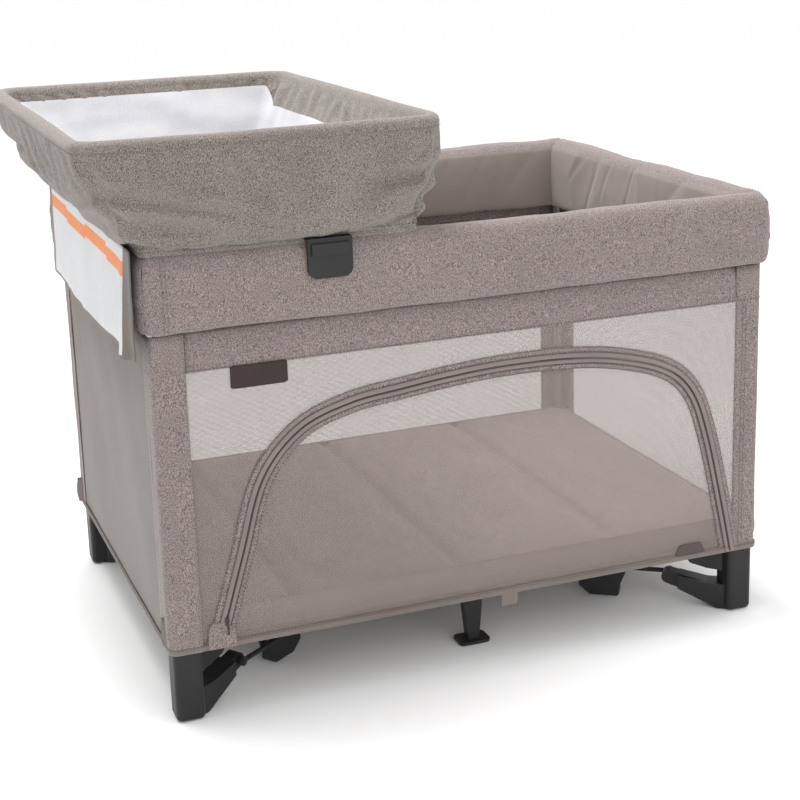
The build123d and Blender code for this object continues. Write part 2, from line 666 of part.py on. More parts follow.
def tub_section(height, left, right, half_y, radius, shrink=0.0):
    """A rounded rectangle across the tub at one height."""
    with BuildSketch(Plane.XY.offset(height)) as shape:
        with Locations(((left + right) / 2, 0)):
            RectangleRounded(right - left - 2 * shrink, 2 * (half_y - shrink), radius)
    return shape.sketch


def loop_path(height, left, right, half_y, radius):
    """A rounded rectangle as a closed path."""
    with BuildLine(Plane.XY.offset(height)) as path:
        corners = [(left, -half_y), (right, -half_y), (right, half_y), (left, half_y)]
        FilletPolyline(*corners, radius=radius, close=True)
    return path


def loop_tube(height, left, right, half_y, radius, tube_r, hole=0.0):
    """A closed tube loop that lies level."""
    path = loop_path(height, left, right, half_y, radius)
    with BuildPart() as piece:
        with BuildSketch(Plane(origin=(left, 0, height), x_dir=(1, 0, 0), z_dir=(0, 1, 0))):
            Circle(tube_r)
            if hole:
                Circle(hole, mode=Mode.SUBTRACT)
        sweep(path=path.line)
    return piece


def tub_struts():
    """The foot and top of each strut between the base loop and the rim tube."""
    struts = []
    for low_x, high_x in ((SKIRT_LEFT + BASE_IN, TUB_LEFT), (SKIRT_RIGHT - BASE_IN, TUB_RIGHT)):
        for sy in (-1, 1):
            y = sy * TUB_STRUT_SHARE * (SKIRT_Y - BASE_IN)
            struts.append((Vector(low_x, y, BASE_Z), Vector(high_x, y, TUB_RIM_Z)))
    return struts


def make_changer_frame():
    """The tub's tube frame: a rim loop, a base loop on the rails and four struts."""
    rim = loop_tube(TUB_RIM_Z, TUB_LEFT, TUB_RIGHT, TUB_RIM_Y, TUB_RIM_ROUND, TUB_TUBE_R)
    base_sides = (SKIRT_LEFT + BASE_IN, SKIRT_RIGHT - BASE_IN, SKIRT_Y - BASE_IN)
    base = loop_tube(BASE_Z, *base_sides, TUB_BASE_ROUND, TUB_BASE_R)
    with BuildPart() as piece:
        add(rim.part)
        add(base.part)
        for low, high in tub_struts():
            with BuildSketch(Plane(origin=low, z_dir=high - low)):
                Circle(TUB_STRUT_R)
            extrude(amount=(high - low).length)
    save(piece, "changer_frame")


def make_changer_skirt():
    """The tub's outer fabric: flaring sides below a padded roll round the rim tube."""
    rim = (TUB_RIM_Z, TUB_LEFT, TUB_RIGHT, TUB_RIM_Y, TUB_RIM_ROUND)
    bore_r = TUB_TUBE_R + 1
    roll = loop_tube(*rim, TUB_ROLL_R, bore_r)
    top_z = TUB_RIM_Z - TUB_ROLL_R + TUB_SKIRT_T
    lap = 2.0
    low = (SKIRT_LEFT, SKIRT_RIGHT, SKIRT_Y)
    high = (TUB_LEFT - lap, TUB_RIGHT + lap, TUB_RIM_Y + lap)
    low_round = TUB_BASE_ROUND + 4
    high_round = TUB_RIM_ROUND + lap
    with BuildPart() as piece:
        loft([tub_section(SKIRT_Z, *low, low_round), tub_section(top_z, *high, high_round)])
        inner_low = tub_section(SKIRT_Z, *low, low_round - TUB_SKIRT_T, TUB_SKIRT_T)
        inner_high = tub_section(top_z, *high, high_round - TUB_SKIRT_T, TUB_SKIRT_T)
        loft([inner_low, inner_high], mode=Mode.SUBTRACT)
        add(roll.part)
        bore = loop_tube(*rim, bore_r)
        add(bore.part, mode=Mode.SUBTRACT)
        for foot_point, top_point in tub_struts():
            with BuildSketch(Plane(origin=foot_point, z_dir=top_point - foot_point)):
                Circle(TUB_STRUT_R + 1)
            extrude(amount=(top_point - foot_point).length, mode=Mode.SUBTRACT)
    save(piece, "changer_skirt")


def make_changer_liner():
    """The tub's inner fabric with its padded floor."""
    low = (SKIRT_LEFT + LINER_IN, SKIRT_RIGHT - LINER_IN, SKIRT_Y - LINER_IN)
    reach = TUB_ROLL_R + 1
    high = (TUB_LEFT + reach, TUB_RIGHT - reach, TUB_RIM_Y - reach)
    bottom = BASE_Z + 2
    floor = bottom + TUB_FLOOR_T
    top = TUB_RIM_Z + TUB_TUBE_R
    high_round = TUB_RIM_ROUND - TUB_ROLL_R
    with BuildPart() as piece:
        loft([tub_section(bottom, *low, TUB_BASE_ROUND), tub_section(top, *high, high_round)])
        inner_low = tub_section(floor, *low, TUB_BASE_ROUND - 4, 1)
        inner_high = tub_section(top, *high, high_round - 4, TUB_LINER_T)
        loft([inner_low, inner_high], mode=Mode.SUBTRACT)
    save(piece, "changer_liner")


def make_changer_clips():
    """The two hooks that hold the tub's base loop on the front and back rails."""
    out = COVER_OUT + 1
    top_z = RAIL_TOP_Z + 1 + CLIP_PLATE_T
    tongue_h = CLIP_DROP + 1 + CLIP_PLATE_T
    ledge_top = 8.0
    with BuildPart() as piece:
        for sy in (-1, 1):
            origin = Vector(-HALF_X + CLIP_X, sy * (HALF_Y + out), top_z)
            face = Plane(origin=origin, x_dir=(-sy, 0, 0), z_dir=(0, sy, 0))
            with BuildSketch(face):
                with Locations((0, -tongue_h / 2)):
                    RectangleRounded(CLIP_W, tongue_h, CLIP_ROUND)
                with Locations((0, -tongue_h / 4)):
                    Rectangle(CLIP_W, tongue_h / 2)
            extrude(amount=CLIP_T)
            ledge = strip(face, -0.42 * CLIP_W, 0.42 * CLIP_W, -CLIP_LEDGE_H - ledge_top, -ledge_top)
            extrude(ledge, amount=CLIP_T + CLIP_LEDGE_OUT)
            plate = strip(face, -CLIP_W / 2, CLIP_W / 2, -CLIP_PLATE_T, 0)
            extrude(plate, amount=-(out + HALF_Y - (SKIRT_Y - BASE_IN + TUB_BASE_R)))
    save(piece, "changer_clips")


def make_changer_flap():
    """The blank fabric flap that hangs from the tub outside the left rail."""
    bottom = RAIL_TOP_Z - FLAP_DROP
    top = SKIRT_Z - 1
    x = -HALF_X - COVER_OUT - FLAP_GAP
    with BuildPart() as piece:
        with BuildSketch(Plane(origin=(x, FLAP_Y, 0), x_dir=(0, -1, 0), z_dir=(-1, 0, 0))):
            with Locations((0, (bottom + top) / 2)):
                RectangleRounded(FLAP_LENGTH, top - bottom, 4 * FLAP_T)
        extrude(amount=FLAP_T)
    save(piece, "changer_flap")


make_hub_housing()
make_hub_foot()
make_hub_pins()
make_pull_strap()
for corner_name in CORNERS:
    make_arm(corner_name)
    make_knee(corner_name)
    make_rod(corner_name)
    make_leg_tube(corner_name)
    make_foot(corner_name)
    make_corner_bracket(corner_name)
make_outrigger("front", -1)
make_outrigger("back", 1)
for side_name, (first, second) in SIDES.items():
    make_rail_half(side_name, first, second)
    make_rail_half(side_name, second, first)
    make_middle_joint(side_name)
    make_rail_cover(side_name)
    make_wall(side_name, f"{side_name}_wall")
make_door_panel()
make_zip_track()
make_zip_slider()
make_floor_panel()
make_mattress()
make_changer_frame()
make_changer_skirt()
make_changer_liner()
make_changer_clips()
make_changer_flap()
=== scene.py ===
"""Looks of the folding playpen: sewn walls, padded rails, mattress, zip and changing tub."""

import json
import math

import bpy
from mathutils import Matrix, Vector, noise


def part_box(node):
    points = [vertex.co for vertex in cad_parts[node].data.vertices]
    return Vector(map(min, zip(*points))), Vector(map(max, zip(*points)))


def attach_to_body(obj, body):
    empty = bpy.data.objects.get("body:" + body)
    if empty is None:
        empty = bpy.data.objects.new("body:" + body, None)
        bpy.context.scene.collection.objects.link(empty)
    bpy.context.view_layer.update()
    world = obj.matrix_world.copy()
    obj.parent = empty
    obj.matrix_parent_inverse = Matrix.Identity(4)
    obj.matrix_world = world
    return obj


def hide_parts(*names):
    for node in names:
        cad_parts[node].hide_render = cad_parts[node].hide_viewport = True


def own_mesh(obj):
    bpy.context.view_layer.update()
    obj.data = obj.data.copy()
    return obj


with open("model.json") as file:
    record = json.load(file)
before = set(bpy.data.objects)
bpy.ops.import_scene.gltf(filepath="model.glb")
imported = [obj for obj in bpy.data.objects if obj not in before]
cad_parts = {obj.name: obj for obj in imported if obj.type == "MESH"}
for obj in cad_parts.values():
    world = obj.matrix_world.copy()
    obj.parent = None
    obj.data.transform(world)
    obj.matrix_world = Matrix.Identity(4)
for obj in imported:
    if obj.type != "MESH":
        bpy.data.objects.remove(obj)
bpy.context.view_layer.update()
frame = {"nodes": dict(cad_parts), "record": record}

# ---------------------------------------------------------------- sizes, in metres

WALL_LOW, WALL_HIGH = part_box("front_wall")
HALF_X = WALL_HIGH.x
HALF_Y = -WALL_LOW.y
HEM_Z = WALL_LOW.z
WALL_TOP = WALL_HIGH.z
RAIL_LOW, RAIL_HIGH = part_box("rail_cover_front")
RAIL_TOP = RAIL_HIGH.z
RAIL_BOTTOM = RAIL_LOW.z
HEADER_DEPTH = {"front": 0.062, "right": 0.040, "back": 0.036, "left": 0.024}
HEADER_Z = RAIL_BOTTOM - HEADER_DEPTH["front"]
WALL_PULL = 0.004  # how far a tight wall draws in at its middle
STRIP_W = 0.050  # opaque cloth each side of a corner
CORNER_R = 0.012
HEM_H = 0.011
SIDES = {"front": ("fl", "fr"), "right": ("fr", "br"), "back": ("br", "bl"), "left": ("bl", "fl")}
SIDE_LEG = {"front": "fl", "right": "fr", "back": "br", "left": "bl"}
CORNER_SIGNS = {"fl": (-1, -1), "fr": (1, -1), "br": (1, 1), "bl": (-1, 1)}
SHEET_LAP = 0.004  # how far a sheet goes under its frame
CLOTH_T = 0.0016
LIGHT_CLOTH_T = 0.0012
MESH_T = 0.0007

# ---------------------------------------------------------------- noise and material nodes


def lumps(x, y, z):
    """Smooth repeatable noise at a place."""
    return noise.noise(Vector((x, y, z)))


class Shader:
    """A small wrapper that makes a material's nodes and links."""

    def __init__(self, name):
        self.material = bpy.data.materials.new(name)
        self.material.use_nodes = True
        self.tree = self.material.node_tree
        self.bsdf = self.tree.nodes["Principled BSDF"]
        self.place = self.node("ShaderNodeTexCoord").outputs["Object"]

    def node(self, kind, **values):
        made = self.tree.nodes.new(kind)
        for key, value in values.items():
            setattr(made, key, value)
        return made

    def link(self, source, target):
        self.tree.links.new(source, target)

    def math(self, operation, a, b=0.0):
        made = self.node("ShaderNodeMath", operation=operation)
        for socket, value in zip(made.inputs, (a, b)):
            if isinstance(value, (int, float)):
                socket.default_value = value
            else:
                self.link(value, socket)
        return made.outputs[0]

    def noise(self, scale, detail=2.0, stretch=(1, 1, 1), rough=0.5):
        placed = self.node("ShaderNodeMapping")
        placed.inputs["Scale"].default_value = stretch
        self.link(self.place, placed.inputs["Vector"])
        made = self.node("ShaderNodeTexNoise")
        made.inputs["Scale"].default_value = scale
        made.inputs["Detail"].default_value = detail
        made.inputs["Roughness"].default_value = rough
        self.link(placed.outputs[0], made.inputs["Vector"])
        return made.outputs["Fac"]

    def ramp(self, value, *stops):
        made = self.node("ShaderNodeValToRGB")
        ramp = made.color_ramp
        while len(ramp.elements) < len(stops):
            ramp.elements.new(0.5)
        for element, (place, colour) in zip(ramp.elements, stops):
            element.position = place
            element.color = (*colour, 1)
        self.link(value, made.inputs["Fac"])
        return made.outputs["Color"]

    def mix(self, share, a, b, blend="MIX"):
        made = self.node("ShaderNodeMix", data_type="RGBA", blend_type=blend)
        for socket, value in ((made.inputs[0], share), (made.inputs[6], a), (made.inputs[7], b)):
            if isinstance(value, (int, float)):
                socket.default_value = value
            elif isinstance(value, tuple):
                socket.default_value = (*value, 1)
            else:
                self.link(value, socket)
        return made.outputs[2]

    def bump(self, height, strength, distance, under=None):
        made = self.node("ShaderNodeBump")
        made.inputs["Strength"].default_value = strength
        made.inputs["Distance"].default_value = distance
        self.link(height, made.inputs["Height"])
        if under is not None:
            self.link(under, made.inputs["Normal"])
        return made.outputs["Normal"]

    def set(self, **values):
        for key, value in values.items():
            self.bsdf.inputs[key.replace("_", " ")].default_value = value


def linear(*rgb):
    """A colour given as 0..255 display values, as the linear values that shaders use."""
    return tuple((v / 255 / 12.92) if v < 10 else ((v / 255 + 0.055) / 1.055) ** 2.4 for v in rgb)


def along_wall(shader):
    """One coordinate that runs along any upright wall, and the height, in metres."""
    split = shader.node("ShaderNodeSeparateXYZ")
    shader.link(shader.place, split.inputs[0])
    return shader.math("ADD", split.outputs["X"], split.outputs["Y"]), split.outputs["Z"]


def wave(shader, value, period):
    """A smooth 0 to 1 wave of a coordinate."""
    turned = shader.math("MULTIPLY", value, 2 * math.pi / period)
    return shader.math("ADD", shader.math("MULTIPLY", shader.math("SINE", turned), 0.5), 0.5)


def melange(name, dark, light):
    """Two-tone twill: flecks of two yarns, a diagonal weave and slow colour drift."""
    s = Shader(name)
    flecks = s.noise(950, 2.0, stretch=(1.0, 1.0, 0.5), rough=0.75)
    blotch = s.noise(9, 2.0)
    middle = tuple((a + b) / 2 for a, b in zip(dark, light))
    yarns = s.ramp(flecks, (0.40, dark), (0.50, middle), (0.60, light))
    drift = s.ramp(blotch, (0.3, (0.95, 0.95, 0.95)), (0.7, (1.03, 1.03, 1.03)))
    s.link(s.mix(1.0, yarns, drift, "MULTIPLY"), s.bsdf.inputs["Base Color"])
    across, height = along_wall(s)
    rib = wave(s, s.math("ADD", across, height), 0.0024)
    weft = wave(s, s.math("SUBTRACT", across, height), 0.0031)
    weave = s.math("ADD", s.math("MULTIPLY", rib, 0.7), s.math("MULTIPLY", weft, 0.3))
    fine = s.bump(s.math("ADD", weave, s.math("MULTIPLY", flecks, 0.7)), 0.45, 0.0007)
    s.link(s.bump(s.noise(16, 3.0), 0.25, 0.006, under=fine), s.bsdf.inputs["Normal"])
    s.set(Roughness=0.92, Sheen_Weight=0.25, Sheen_Roughness=0.5)
    s.bsdf.inputs["Specular IOR Level"].default_value = 0.2
    return s.material


def plain_cloth(name, colour, shade, weave=0.0012, bump=0.3):
    """Smooth close-woven cloth with faint threads and slow colour drift."""
    s = Shader(name)
    drift = s.ramp(s.noise(9, 4.0), (0.3, shade), (0.7, colour))
    thread = s.noise(650, 2.0, stretch=(1, 1, 0.3))
    s.link(s.mix(1.0, drift, s.ramp(thread, (0.3, (0.93,) * 3), (0.7, (1.05,) * 3)), "MULTIPLY"),
           s.bsdf.inputs["Base Color"])
    across, height = along_wall(s)
    cross = s.math("MULTIPLY", wave(s, across, weave), wave(s, height, weave))
    fine = s.bump(cross, bump, 0.0004)
    s.link(s.bump(s.noise(22, 3.0), 0.25, 0.004, under=fine), s.bsdf.inputs["Normal"])
    s.set(Roughness=0.85, Sheen_Weight=0.3, Sheen_Roughness=0.4)
    s.bsdf.inputs["Specular IOR Level"].default_value = 0.25
    return s.material


def mesh_cloth(name, colour, cover=0.50):
    """Knitted mesh: threads round small holes that let the light through."""
    s = Shader(name)
    across, height = along_wall(s)
    one = wave(s, s.math("ADD", across, s.math("MULTIPLY", height, 1.7)), 0.0052)
    two = wave(s, s.math("SUBTRACT", across, s.math("MULTIPLY", height, 1.7)), 0.0052)
    holes = s.math("MULTIPLY", one, two)
    density = s.math("ADD", cover, s.math("MULTIPLY", s.math("SUBTRACT", 0.25, holes), 0.55))
    density = s.math("MINIMUM", s.math("MAXIMUM", density, 0.06), 0.95)
    tone = s.ramp(s.noise(30, 3.0), (0.3, tuple(c * 0.93 for c in colour)), (0.7, colour))
    s.link(tone, s.bsdf.inputs["Base Color"])
    s.link(density, s.bsdf.inputs["Alpha"])
    s.link(s.bump(holes, 0.4, 0.0006), s.bsdf.inputs["Normal"])
    s.set(Roughness=0.9, Sheen_Weight=0.3)
    s.bsdf.inputs["Specular IOR Level"].default_value = 0.15
    return s.material


def plastic(name, colour, rough=0.45, grain=900, bump=0.15):
    """Moulded plastic with a fine spark-eroded grain and slightly uneven gloss."""
    s = Shader(name)
    drift = s.ramp(s.noise(14, 3.0), (0.35, tuple(c * 0.85 for c in colour)), (0.7, colour))
    s.link(drift, s.bsdf.inputs["Base Color"])
    uneven = s.math("MULTIPLY", s.noise(40, 3.0), 0.12)
    s.link(s.math("ADD", uneven, rough - 0.06), s.bsdf.inputs["Roughness"])
    s.link(s.bump(s.noise(grain, 2.0), bump, 0.0003), s.bsdf.inputs["Normal"])
    s.bsdf.inputs["Specular IOR Level"].default_value = 0.3
    return s.material


def metal(name, colour, rough=0.35):
    """Satin tube metal with fine drawn lines."""
    s = Shader(name)
    lines = s.noise(300, 2.0, stretch=(0.06, 0.06, 1))
    s.link(s.ramp(lines, (0.3, tuple(c * 0.9 for c in colour)), (0.7, colour)), s.bsdf.inputs["Base Color"])
    s.link(s.math("ADD", s.math("MULTIPLY", lines, 0.15), rough - 0.07), s.bsdf.inputs["Roughness"])
    s.set(Metallic=1.0)
    return s.material


MELANGE = melange("melange_cloth", linear(82, 72, 69), linear(158, 145, 142))
MELANGE_COOL = melange("melange_cool_cloth", linear(77, 71, 66), linear(148, 140, 133))
TAUPE = plain_cloth("taupe_cloth", linear(106, 98, 90), linear(99, 92, 84))
LINING = plain_cloth("rail_lining", linear(142, 130, 124), linear(134, 123, 117))
MAT = plain_cloth("mattress_cloth", linear(138, 128, 124), linear(129, 119, 116), weave=0.0016, bump=0.5)
BINDING = plain_cloth("binding_tape", linear(124, 114, 109), linear(114, 104, 100), weave=0.0009, bump=0.6)
TAPE = plain_cloth("zip_tape", linear(136, 124, 119), linear(124, 113, 109), weave=0.0011, bump=0.6)
MESH = mesh_cloth("knitted_mesh", linear(160, 146, 141), cover=0.37)
WHITE = plain_cloth("white_liner", linear(196, 196, 198), linear(187, 187, 190), weave=0.0014, bump=0.35)
LABEL = plain_cloth("blank_label", linear(202, 203, 204), linear(194, 195, 197))
ORANGE = plain_cloth("label_band", linear(226, 128, 52), linear(218, 120, 46))
THREAD = plain_cloth("sewing_thread", linear(120, 110, 105), linear(104, 96, 92))
# Dark sewing thread; on the mattress channels its darkness is also painted shade of the sewn channels.
THREAD_DARK_AND_SEAM_SHADE = plain_cloth("dark_thread_and_seam_shade", linear(84, 76, 73), linear(72, 65, 62))
COIL = plastic("zip_coil_nylon", linear(74, 65, 63), 0.5)
LEATHER = plastic("tag_leatherette", linear(50, 36, 31), 0.6, grain=500, bump=0.5)
TAG_GREY = plastic("tag_rubber", linear(82, 72, 70), 0.6)
BLACK = plastic("charcoal_plastic", linear(38, 37, 38), 0.45)
TUBE = metal("satin_tube", (0.26, 0.26, 0.27), 0.42)
STEEL = metal("pin_steel", (0.5, 0.5, 0.5), 0.3)
WEBBING = plain_cloth("webbing", linear(58, 56, 56), linear(48, 46, 46), weave=0.002, bump=0.8)

# ---------------------------------------------------------------- mesh helpers


def make_object(name, points, faces, materials, slots=None, smooth=True):
    """A mesh object from its points and faces, with one material or several."""
    data = bpy.data.meshes.new(name)
    data.from_pydata([tuple(p) for p in points], [], faces)
    for material in materials:
        data.materials.append(material)
    if slots:
        data.polygons.foreach_set("material_index", slots)
    data.polygons.foreach_set("use_smooth", [smooth] * len(data.polygons))
    data.update()
    made = bpy.data.objects.new(name, data)
    bpy.context.scene.collection.objects.link(made)
    return made


def grid(name, rows, columns, point, materials, slot_of=None, wrap_rows=False, wrap_columns=False):
    """A grid of quads: point(i, j) for each row i and column j."""
    points = [point(i, j) for i in range(rows) for j in range(columns)]
    faces = []
    slots = []
    for i in range(rows if wrap_rows else rows - 1):
        for j in range(columns if wrap_columns else columns - 1):
            below = ((i + 1) % rows) * columns
            right = (j + 1) % columns
            faces.append((i * columns + j, i * columns + right, below + right, below + j))
            slots.append(slot_of(i, j) if slot_of else 0)
    return make_object(name, points, faces, materials, slots)


def thicken(obj, thickness, offset=-1.0):
    """Give a sheet its real thickness."""
    solid = obj.modifiers.new("thickness", "SOLIDIFY")
    solid.thickness = thickness
    solid.offset = offset
    return obj


def smooth_more(obj, levels=1):
    """Subdivide a piece smoothly."""
    sub = obj.modifiers.new("smooth", "SUBSURF")
    sub.levels = levels
    sub.render_levels = levels
    return obj


def relax(obj, pinned, slack, gravity, cap, frames=16):
    """Let an object's cloth settle between its pinned points, then keep the settled shape."""
    scene = bpy.context.scene
    group = obj.vertex_groups.new(name="pinned")
    group.add(pinned, 1.0, "REPLACE")
    cloth = obj.modifiers.new("cloth", "CLOTH")
    cloth.settings.quality = 6
    cloth.settings.mass = 0.25
    cloth.settings.tension_stiffness = 18
    cloth.settings.compression_stiffness = 18
    cloth.settings.bending_stiffness = 0.4
    cloth.settings.vertex_group_mass = "pinned"
    cloth.settings.shrink_min = -slack
    cloth.settings.effector_weights.gravity = gravity
    cloth.collision_settings.use_collision = False
    before = [v.co.copy() for v in obj.data.vertices]
    for frame_number in range(1, frames + 1):
        scene.frame_set(frame_number)
    settled = obj.evaluated_get(bpy.context.evaluated_depsgraph_get()).to_mesh()
    after = [v.co.copy() for v in settled.vertices]
    obj.modifiers.remove(cloth)
    for vertex, old, new in zip(obj.data.vertices, before, after):
        move = new - old
        vertex.co = old + move * min(1.0, cap / max(move.length, 1e-6))
    obj.vertex_groups.clear()
    scene.frame_set(1)
    return obj


def curve_through(points, steps, closed=False):
    """Points on a smooth curve through the given points, spaced evenly."""
    count = len(points)
    dense = []
    for k in range(count if closed else count - 1):
        near = [(k + d) % count if closed else min(max(k + d, 0), count - 1) for d in (-1, 0, 1, 2)]
        p0, p1, p2, p3 = (points[m] for m in near)
        for n in range(16):
            t = n / 16
            dense.append(
                0.5 * (2 * p1 + (p2 - p0) * t + (2 * p0 - 5 * p1 + 4 * p2 - p3) * t**2
                       + (3 * p1 - p0 - 3 * p2 + p3) * t**3)
            )
    dense.append(points[0] if closed else points[-1])
    lengths = [0.0]
    for a, b in zip(dense, dense[1:]):
        lengths.append(lengths[-1] + (b - a).length)
    even = []
    k = 0
    for n in range(steps):
        want = lengths[-1] * n / (steps if closed else steps - 1)
        while k < len(dense) - 2 and lengths[k + 1] < want:
            k += 1
        span = max(lengths[k + 1] - lengths[k], 1e-9)
        even.append(dense[k].lerp(dense[k + 1], (want - lengths[k]) / span))
    return even


def tube_along(name, points, radius, material, sides=8, closed=False, flat=1.0):
    """A round or flattened tube along a line of points."""
    rings = []
    count = len(points)
    for k, p in enumerate(points):
        ahead = points[(k + 1) % count] if closed or k < count - 1 else p
        behind = points[k - 1] if closed or k > 0 else p
        along = (ahead - behind).normalized()
        side = along.cross(Vector((0, 0, 1)))
        side = side.normalized() if side.length > 1e-4 else Vector((1, 0, 0))
        up = side.cross(along)
        for n in range(sides):
            angle = 2 * math.pi * n / sides
            rings.append(p + side * (radius * flat * math.cos(angle)) + up * (radius * math.sin(angle)))
    return grid(name, count, sides, lambda i, j: rings[i * sides + j], [material],
                wrap_rows=closed, wrap_columns=True)


def stitches(name, points, out, material, length=0.0036, gap=0.0022, thick=0.0006):
    """A row of sewing stitches along a line; out(point) is the cloth's outward direction."""
    total = sum((b - a).length for a, b in zip(points, points[1:]))
    count = max(2, int(total / (length + gap)))
    places = curve_through(points, count)
    vertices = []
    faces = []
    for k in range(count - 1):
        start = places[k]
        along = places[k + 1] - start
        if along.length < 1e-6:
            continue
        along = along.normalized() * length
        up = out(start).normalized()
        side = along.cross(up).normalized() * thick
        base = len(vertices)
        for share, rise, wide in ((0, 0.0, 0.5), (0.25, 0.9, 1), (0.75, 0.9, 1), (1, 0.0, 0.5)):
            centre = start + along * share
            vertices += [centre - side * wide, centre + up * (thick * rise + 0.0003), centre + side * wide]
        for r in range(3):
            for c in range(2):
                a = base + r * 3 + c
                faces.append((a, a + 1, a + 4, a + 3))
    return make_object(name, vertices, faces, [material])


def attach(obj, body):
    """Carry a piece on a body."""
    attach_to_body(obj, body)
    return obj


def ride_and_fold(obj, side):
    """A wall piece rides its side's leg."""
    leg = SIDE_LEG[side]
    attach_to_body(obj, f"leg_{leg}")
    sx, sy = CORNER_SIGNS[leg]
    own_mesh(obj)
    return obj


def side_halves(side):
    """Half of a side's length, and how far its face stands from the middle."""
    return (HALF_X, HALF_Y) if side in ("front", "back") else (HALF_Y, HALF_X)


def on_side(side, a, w, z):
    """The point a along a side, w out from the playpen's middle and z above the floor."""
    return {
        "front": Vector((a, -w, z)),
        "right": Vector((w, a, z)),
        "back": Vector((-a, w, z)),
        "left": Vector((-w, -a, z)),
    }[side]


def wall_point(side, a, z, out=0.0):
    """A point on a wall: a runs along it from its first corner's side, out is away from the playpen."""
    half, face = side_halves(side)
    height = (z - HEM_Z) / (WALL_TOP - HEM_Z)
    pull = max(0.0, 1 - (a / half) ** 2) * max(0.0, math.sin(math.pi * min(max(height, 0), 1)))
    return on_side(side, a, face + out - WALL_PULL * pull, z)


def outward(side):
    """The outward direction of a side."""
    return {"front": Vector((0, -1, 0)), "right": Vector((1, 0, 0)),
            "back": Vector((0, 1, 0)), "left": Vector((-1, 0, 0))}[side]


# ---------------------------------------------------------------- padded rails

# Out from the wall's face and up from the rail's top, round one section of the cover.
RAIL_PROFILE = [
    (-0.0010, -0.1190), (0.0075, -0.1185), (0.0135, -0.112), (0.0162, -0.096), (0.0172, -0.066),
    (0.0158, -0.034), (0.0105, -0.0115), (0.0010, -0.0015), (-0.0100, 0.0005), (-0.0220, -0.0030),
    (-0.0315, -0.014), (-0.0358, -0.042), (-0.0368, -0.085), (-0.0348, -0.122), (-0.0300, -0.131),
    (-0.0190, -0.127), (-0.0090, -0.120),
]
RAIL_SECTION = curve_through([Vector((w, 0, z)) for w, z in RAIL_PROFILE], 56, closed=True)
RAIL_STRAIGHT = 110
RAIL_ARC = 9
RAIL_CORNER_R = 0.018


def rail_place(side, end, k, w):
    """A plan point of a rail half: k runs from the middle to the corner's diagonal, w is outwards."""
    half, _ = side_halves(side)
    radius = max(RAIL_CORNER_R + w, 0.003)
    centre = half + w - radius
    if k <= RAIL_STRAIGHT:
        a, out = centre * k / RAIL_STRAIGHT, w
    else:
        angle = math.pi / 4 * (k - RAIL_STRAIGHT) / RAIL_ARC
        a, out = centre + radius * math.sin(angle), w - radius * (1 - math.cos(angle))
    return end * a, out


def rail_relief(side, a, point, inner):
    """How far the cover's cloth stands off its smooth shape."""
    seed = {"front": 0, "right": 7, "back": 13, "left": 21}[side]
    half, _ = side_halves(side)
    slow = lumps(a * 7 + seed, point.z * 9, seed)
    if not inner:
        fine = lumps(a * 30 + seed, point.z * 40, 3)
        edge = math.exp(-((half - abs(a)) / 0.05) ** 2)
        pucker = lumps(a * 16, (point.z + a * 0.35) * 70, seed) * edge
        top = math.exp(-((RAIL_TOP - point.z) / 0.03) ** 2)
        dent = lumps(a * 13 + seed, point.z * 10, seed + 4)
        return (0.0022 + 0.0016 * top) * slow + 0.0012 * dent + 0.0007 * fine + 0.0026 * pucker
    strength = {"right": 1.0, "back": 0.45, "left": 0.7, "front": 0.5}[side]
    drop = RAIL_TOP - point.z
    fold = lumps(a * 9 + seed, drop * 4 + a * 3, seed)
    crease = abs(lumps(a * 11 - drop * 6 - seed, drop * 3, 5 + seed))
    body = 0.005 + 0.008 * slow + 0.007 * fold - 0.022 * max(0, 0.10 - crease)
    return min(0.006, max(-0.001, strength * body))


def make_rail_half(side, index):
    """Half of a padded rail, as one closed sleeve from the middle to the corner."""
    end = (-1, 1)[index]
    corner = SIDES[side][index]

    def point(i, j):
        section = RAIL_SECTION[j]
        a, w = rail_place(side, end, i, section.x)
        spot = Vector((a, w, RAIL_TOP + section.z))
        inner = section.x < -0.03
        push = rail_relief(side, a, spot, inner)
        mid_x, mid_z = -0.010, -0.062
        away = Vector((section.x - mid_x, 0, (section.z - mid_z) * 0.3)).normalized()
        _, face = side_halves(side)
        return on_side(side, a, face + w + away.x * push, RAIL_TOP + section.z + away.z * push)

    def slot_of(_, j):
        return 1 if RAIL_SECTION[j].x < -0.0315 or RAIL_SECTION[j].z < -0.1225 else 0

    name = f"padded_rail_{side}_{corner}"
    made = grid(name, RAIL_STRAIGHT + RAIL_ARC + 1, len(RAIL_SECTION), point, [MELANGE, LINING],
                slot_of, wrap_columns=True)
    attach(made, f"rail_{side}_{corner}")
    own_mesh(made)
    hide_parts(f"rail_cover_{side}")
    return made


def rail_corner_seam(corner):
    """The sewn seam that runs over a padded rail beside its corner, with its stitching."""
    side = next(s for s, pair in SIDES.items() if pair[0] == corner)
    outer = [s for s in RAIL_SECTION if s.x > -0.031]
    path = sorted(outer, key=lambda s: math.atan2(s.z + 0.075, s.x + 0.012))
    half, face = side_halves(side)
    for n, inset in enumerate((0.020, 0.0265)):
        points = []
        for s in path:
            a = -(half - inset)
            w = s.x + 0.0012 + rail_relief(side, a, Vector((a, 0, RAIL_TOP + s.z)), False)
            points.append(on_side(side, a, face + w, RAIL_TOP + s.z + 0.0006))
        direction = outward(side)
        made = stitches(f"rail_seam_{corner}_{n}", points, lambda p: direction + Vector((0, 0, 0.4)), THREAD)
        attach(made, f"rail_{side}_{corner}")
        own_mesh(made)


# ---------------------------------------------------------------- walls


